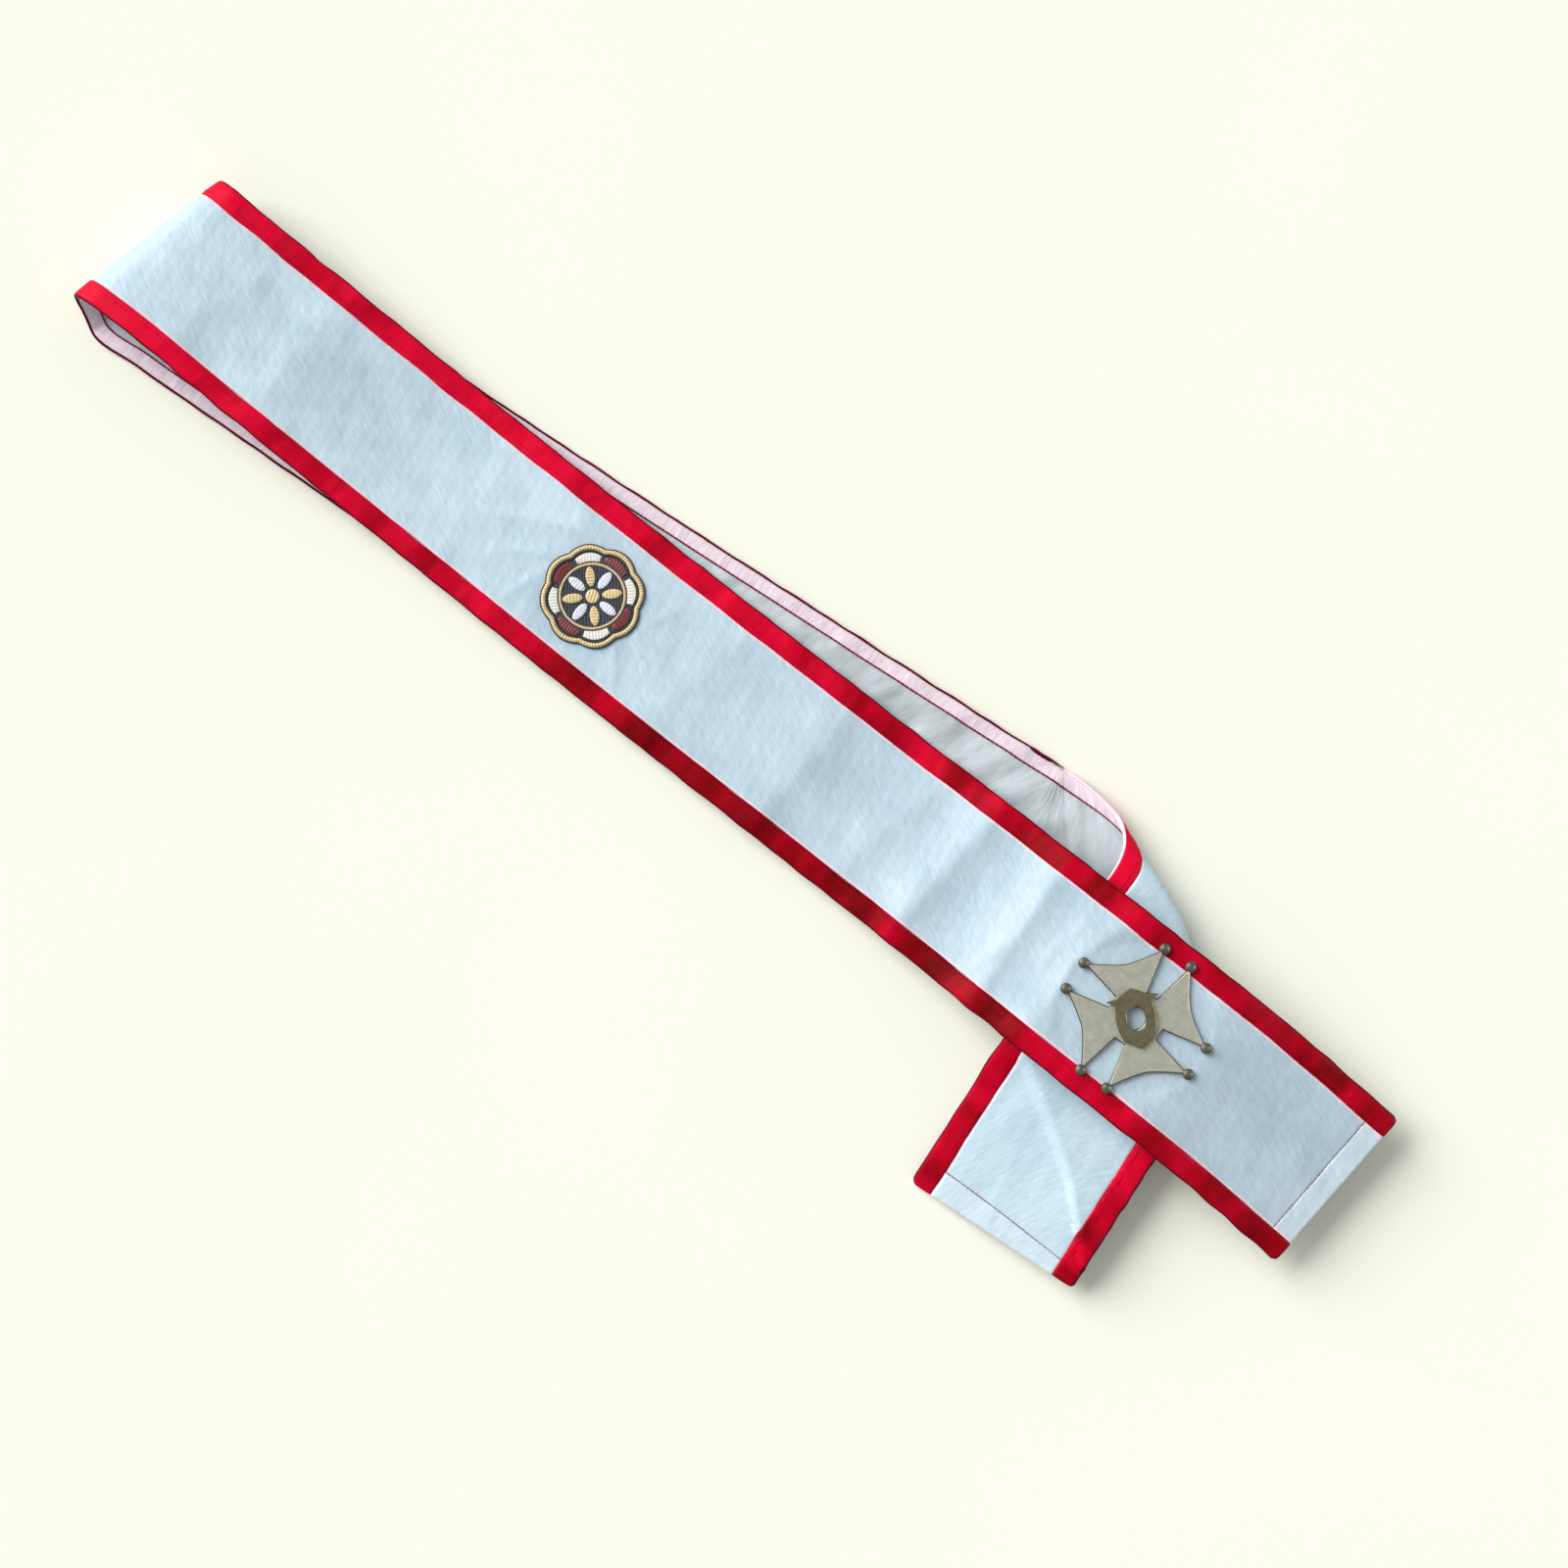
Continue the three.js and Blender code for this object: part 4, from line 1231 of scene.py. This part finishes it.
def patch_piece(name, points, faces, thread_map, material):
    piece = new_mesh(name, places(on_cloth(points.reshape(-1, 3))), faces)
    add_map(piece, np.asarray(thread_map).reshape(-1, 2) * MM)
    dress(piece, material)
    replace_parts(piece, "patch")
    return piece


def pads(name, outlines, base, rise, material):
    """Closed raised fields of satin stitch: outlines of points, with the direction of each one's threads."""
    points, faces, threads = [], [], []
    start = 0
    for outline, grain in outlines:
        centre = outline.mean(axis=0)
        count = len(outline)
        rings = [
            np.column_stack([centre + (outline - centre) * share, np.full(count, base + rise * height)])
            for share, height in PAD_RINGS
        ]
        field = np.concatenate([*rings, [(*centre, base + rise)]])
        index = numbered(start, len(rings), count)
        top = start + len(field) - 1
        faces += tube(index) + [index[0].tolist()] + fan(index[-1], top)
        points.append(field)
        threads.append(turned(field[:, :2], -grain))
        start += len(field)
    return patch_piece(name, np.concatenate(points), faces, np.concatenate(threads), material)


def cord_ring(name, inset, radius, breadth, low, high, ribs, depth, material):
    """A closed ring round the patch along its outline or a circle: half round, ribbed by its threads."""
    angle = circle(CORD_STEPS)[:, None]
    turn = np.linspace(0, math.pi, CORD_POINTS)[None, :]
    out = breadth / 2 * np.cos(turn)
    up = low + (high - low) * np.sin(turn)
    ribbed = 1 + depth * np.abs(np.sin(ribs * angle / 2 + out * CORD_SLANT))
    height = up * np.where(up > RIB_FROM, ribbed, 1)
    reach = out + (scallop(angle, inset) if radius is None else radius)
    points = np.dstack([reach * np.cos(angle), reach * np.sin(angle), height])
    index = numbered(0, CORD_STEPS, CORD_POINTS)
    threads = flat_map(angle * PATCH_RADIUS, reach)
    return patch_piece(name, points, tube(np.vstack([index, index[:1]])), threads, material)


def sector(angle, half_width):
    """A field between the circle and the rim with straight sides: its middle angle and half its angle."""
    rim = np.linspace(-half_width, half_width, FIELD_POINTS)
    outer = around(scallop(angle + rim, FIELD_INSET), angle + rim)
    return np.concatenate([outer, around(FIELD_INNER, angle + FIELD_ROOT * rim[::-1])])


def patch():
    """The rosette: black ground, gold rim with black cords, maroon and white fields, petals and an eye."""
    rim = circle(GROUND_POINTS)
    ground = around(scallop(rim, GROUND_INSET), rim)
    pads("patch_ground", [(ground, GROUND_GRAIN)], GROUND_LOW, GROUND, BLACK_THREAD)
    for cord in PATCH_CORDS:
        cord_ring(*cord)
    rosette = circle(PATCH_LOBES)
    wide = math.pi / PATCH_LOBES * FIELD_SHARE
    fields = [(sector(angle, wide), angle + math.pi / 2) for angle in rosette]
    pads("patch_maroon_fields", fields[0::2], GROUND, FIELD_RISE, WINE_THREAD)
    pads("patch_white_fields", fields[1::2], GROUND, FIELD_RISE, CREAM_THREAD)
    petals = [(oval(PETAL_LONG, PETAL_WIDE, PETAL_POINTS, PETAL_AT, angle), angle) for angle in rosette]
    pads("patch_white_petals", petals[0::2], GROUND, PETAL_RISE, SILVER_THREAD)
    pads("patch_gold_petals", petals[1::2], GROUND, PETAL_RISE, GOLD_THREAD)
    eye = around(EYE_RADIUS, circle(EYE_POINTS))
    pads("patch_eye", [(eye, EYE_GRAIN)], GROUND, EYE_RISE, GOLD_THREAD)


patch()


# Badge: a cast cross of four notched arms with ball tips under a raised boss, held by two posts

BADGE_SPREAD = 33
BADGE_NOTCH = 29.5
BADGE_DIP = 1.0
BADGE_PULL = 0.62
BADGE_NECK = 15.5
BADGE_THICK = 2.4
BADGE_BEVEL = 1.0
BEVEL_ROUNDS = 3
ARC_STEPS = 14
HOLE_X = 5.0
HOLE_Y = 6.8
HOLE_POINTS = 36

# Edges over this angle stay sharp, and faces that turn less than this towards the front are edge metal
SHARP_EDGE = 30
EDGE_LIMIT = 0.93

# Ball tips
BALL_RADIUS = 3.1
BALL_FLAT = 0.62
BALL_RINGS = 17
BALL_SIDES = 28

# Boss: the left half of its outline from the top to the bottom
BOSS_THICK = 1.6
BOSS_BEVEL = 0.5
BOSS_OUTLINE = [
    (0, 16.6),
    (-8.4, 12.2),
    (-14.6, 11.2),
    (-9.9, 8.4),
    (-11, 0.8),
    (-10.4, -5),
    (-8.6, -11),
    (0, -16.4),
]

# Posts: on the second and the fourth arm
POST_ARMS = (1, 3)
POST_AT = 18
POST_RADIUS = 1.2
POST_TOP = 0.4
POST_BELOW = 2.2
POST_CHAMFER = 0.3
POST_SIDES = 20


def polar(radius, degrees):
    return around(radius, math.radians(degrees))


def curve_points(start, pull, end):
    """Points of a quadratic curve, without its last."""
    t = (np.arange(ARC_STEPS) / ARC_STEPS)[:, None]
    return start * (1 - t) ** 2 + 2 * pull * t * (1 - t) + end * t * t


def cross_outline():
    points = []
    for arm in range(4):
        middle = BADGE_TURN + 90 * arm
        first = polar(BADGE_TIP, middle - BADGE_SPREAD)
        notch = polar(BADGE_NOTCH, middle)
        second = polar(BADGE_TIP, middle + BADGE_SPREAD)
        dip = polar(BADGE_DIP, middle)
        into = first + (notch - first) * BADGE_PULL - dip
        outward = second + (notch - second) * BADGE_PULL - dip
        points += [polar(BADGE_NECK, middle - BADGE_SPREAD), *curve_points(first, into, notch)]
        points += [*curve_points(notch, outward, second), second, polar(BADGE_NECK, middle + BADGE_SPREAD)]
    return np.array(points)


def oval_hole(degrees):
    return oval(HOLE_X, HOLE_Y, HOLE_POINTS, angle=math.radians(degrees))


def plate_points(outlines, thick, bevel):
    """A flat bevelled plate with its base at height 0, from outlines in millimetres: points and faces."""
    curve = bpy.data.curves.new("plate", "CURVE")
    curve.dimensions = "2D"
    curve.fill_mode = "BOTH"
    for outline in outlines:
        spline = curve.splines.new("POLY")
        spline.points.add(len(outline) - 1)
        count = len(outline)
        spline.points.foreach_set("co", np.column_stack([outline, np.zeros(count), np.ones(count)]).ravel())
        spline.use_cyclic_u = True
    curve.extrude = thick / 2 - bevel
    curve.bevel_depth = bevel
    curve.bevel_resolution = BEVEL_ROUNDS
    curve.offset = -bevel
    holder = bpy.data.objects.new("plate", curve)
    mesh = bpy.data.meshes.new_from_object(holder)
    points = np.array([v.co for v in mesh.vertices]) + (0, 0, thick / 2)
    faces = [list(face.vertices) for face in mesh.polygons]
    bpy.data.objects.remove(holder)
    bpy.data.curves.remove(curve)
    bpy.data.meshes.remove(mesh)
    return points, faces


def badge_piece(name, points, faces, material, slot, sharp):
    """A piece in the badge's plane; the faces of its sides and bevels are of darker metal."""
    piece = new_mesh(name, places(strap.badge_plane.place(points)), faces, sharp)
    dress(piece, material)
    if sharp is not None:
        piece.data.materials.append(EDGE_METAL)
        up = strap.badge_plane.turn @ Vector((0, 0, 1))
        for face in piece.data.polygons:
            face.material_index = int(abs(face.normal.dot(up)) < EDGE_LIMIT)
    return piece


def turned_form(profile, count, centre):
    """A closed turned form from (radius, height) points whose first and last lie on its upright axis."""
    angle = circle(count)
    rings = [
        np.column_stack([around(radius, angle), np.full(count, height)])
        for radius, height in profile[1:-1]
    ]
    ends = [[(0, 0, profile[end][1])] for end in (0, -1)]
    points = np.concatenate([ends[0], *rings, ends[1]]) + (*centre, 0)
    index = numbered(1, len(rings), count)
    return points, tube(index) + fan(index[0], 0) + fan(index[-1], len(points) - 1)


def joined(forms):
    """Several (points, faces) as one."""
    points, faces, start = [], [], 0
    for part, its_faces in forms:
        points.append(part)
        faces += [[start + v for v in face] for face in its_faces]
        start += len(part)
    return np.concatenate(points), faces


def badge_plate():
    """The cross and its two posts in one piece."""
    forms = [plate_points([cross_outline(), oval_hole(0)], BADGE_THICK, BADGE_BEVEL)]
    low = LINING_OUT - FACE_OUT - 2 * GAP - POST_BELOW
    profile = [
        (0, POST_TOP),
        (POST_RADIUS, POST_TOP),
        (POST_RADIUS, low + POST_CHAMFER),
        (POST_RADIUS - POST_CHAMFER, low),
        (0, low),
    ]
    for arm in POST_ARMS:
        forms.append(turned_form(profile, POST_SIDES, polar(POST_AT, BADGE_TURN + 90 * arm)))
    return badge_piece("badge_plate", *joined(forms), CAST_METAL, "cast_metal", SHARP_EDGE)


def badge_balls():
    """The flattened balls at the two tips of each arm."""
    turn = np.linspace(-math.pi / 2, math.pi / 2, BALL_RINGS)
    profile = [(BALL_RADIUS * math.cos(a), BALL_RADIUS * BALL_FLAT * (1 + math.sin(a))) for a in turn]
    balls = []
    for arm in range(4):
        for side in (-1, 1):
            tip = polar(BADGE_TIP, BADGE_TURN + 90 * arm + side * BADGE_SPREAD)
            balls.append(turned_form(profile, BALL_SIDES, tip))
    return badge_piece("badge_balls", *joined(balls), BALL_METAL, "dark_metal", None)


def badge_shield():
    """The pierced boss on the cross."""
    left = np.array(BOSS_OUTLINE, float)
    outline = turned(np.concatenate([left, left[-2:0:-1] * (-1, 1)]), math.radians(BADGE_TURN))
    points, faces = plate_points([outline, oval_hole(BADGE_TURN)], BOSS_THICK, BOSS_BEVEL)
    points = points + (0, 0, BADGE_THICK + GAP)
    return badge_piece("badge_shield", points, faces, DARK_METAL, "dark_metal", SHARP_EDGE)


def badge():
    plate = badge_plate()
    tips = badge_balls()
    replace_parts(plate, "badge_cross")
    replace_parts(tips, "badge_cross")
    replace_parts(badge_shield(), "badge_boss")
    for side in ("left", "right"):
        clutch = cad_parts["badge_clutch_" + side]
        clutch.data.materials.clear()
        clutch.data.materials.append(CAST_METAL)


badge()


# Table, light and camera

FLOOR_SIZE = 40.0
SUN_TRAVEL = Vector((0.83, 0.03, -0.555))
SUN_ANGLE = 46.0
SUN_STRENGTH = 3.57
GLINT_TRAVEL = Vector((-0.675, -0.542, -0.5))
GLINT_ANGLE = 24.0
GLINT_STRENGTH = 2.2
SKY_STRENGTH = 0.41
CAMERA_DISTANCE = 1.4
CAMERA_BACK = Vector((0.09743, -0.03784, 0.99452))
IMAGE_UP = Vector((-0.6263, 0.7796, 0))
LENS = 57.33
SENSOR = 36.0


def table_top():
    half = FLOOR_SIZE / 2
    corners = [(-half, -half, 0), (half, -half, 0), (half, half, 0), (-half, half, 0)]
    floor = new_mesh("table_top", corners, [(0, 1, 2, 3)])
    floor.data.materials.append(floor_material())


def sun(name, travel, angle, strength):
    light = bpy.data.lights.new(name, "SUN")
    light.energy = strength
    light.angle = math.radians(angle)
    lamp = bpy.data.objects.new(name, light)
    lamp.rotation_mode = "QUATERNION"
    lamp.rotation_quaternion = travel.to_track_quat("-Z", "Y")
    bpy.context.scene.collection.objects.link(lamp)
    return lamp


def lights():
    """Soft light from the left, and a pale reflection from the right on the metal's edges."""
    sun("key", SUN_TRAVEL, SUN_ANGLE, SUN_STRENGTH)
    sun("glint", GLINT_TRAVEL, GLINT_ANGLE, GLINT_STRENGTH).visible_diffuse = False
    world = bpy.data.worlds.new("studio")
    world.use_nodes = True
    world.node_tree.nodes["Background"].inputs["Color"].default_value = (1, 1, 1, 1)
    world.node_tree.nodes["Background"].inputs["Strength"].default_value = SKY_STRENGTH
    bpy.context.scene.world = world
    bpy.context.scene.view_settings.view_transform = "Standard"


def camera():
    lens = bpy.data.cameras.new("photo_view")
    lens.lens = LENS
    lens.sensor_width = SENSOR
    view = bpy.data.objects.new("photo_view", lens)
    back = CAMERA_BACK.normalized()
    right = IMAGE_UP.cross(back).normalized()
    up = back.cross(right)
    target = Vector(places((0, 0, 0)))
    turn = Matrix((right, up, back)).transposed()
    view.matrix_world = Matrix.Translation(target + back * CAMERA_DISTANCE) @ turn.to_4x4()
    bpy.context.scene.collection.objects.link(view)
    bpy.context.scene.camera = view


table_top()
lights()
camera()
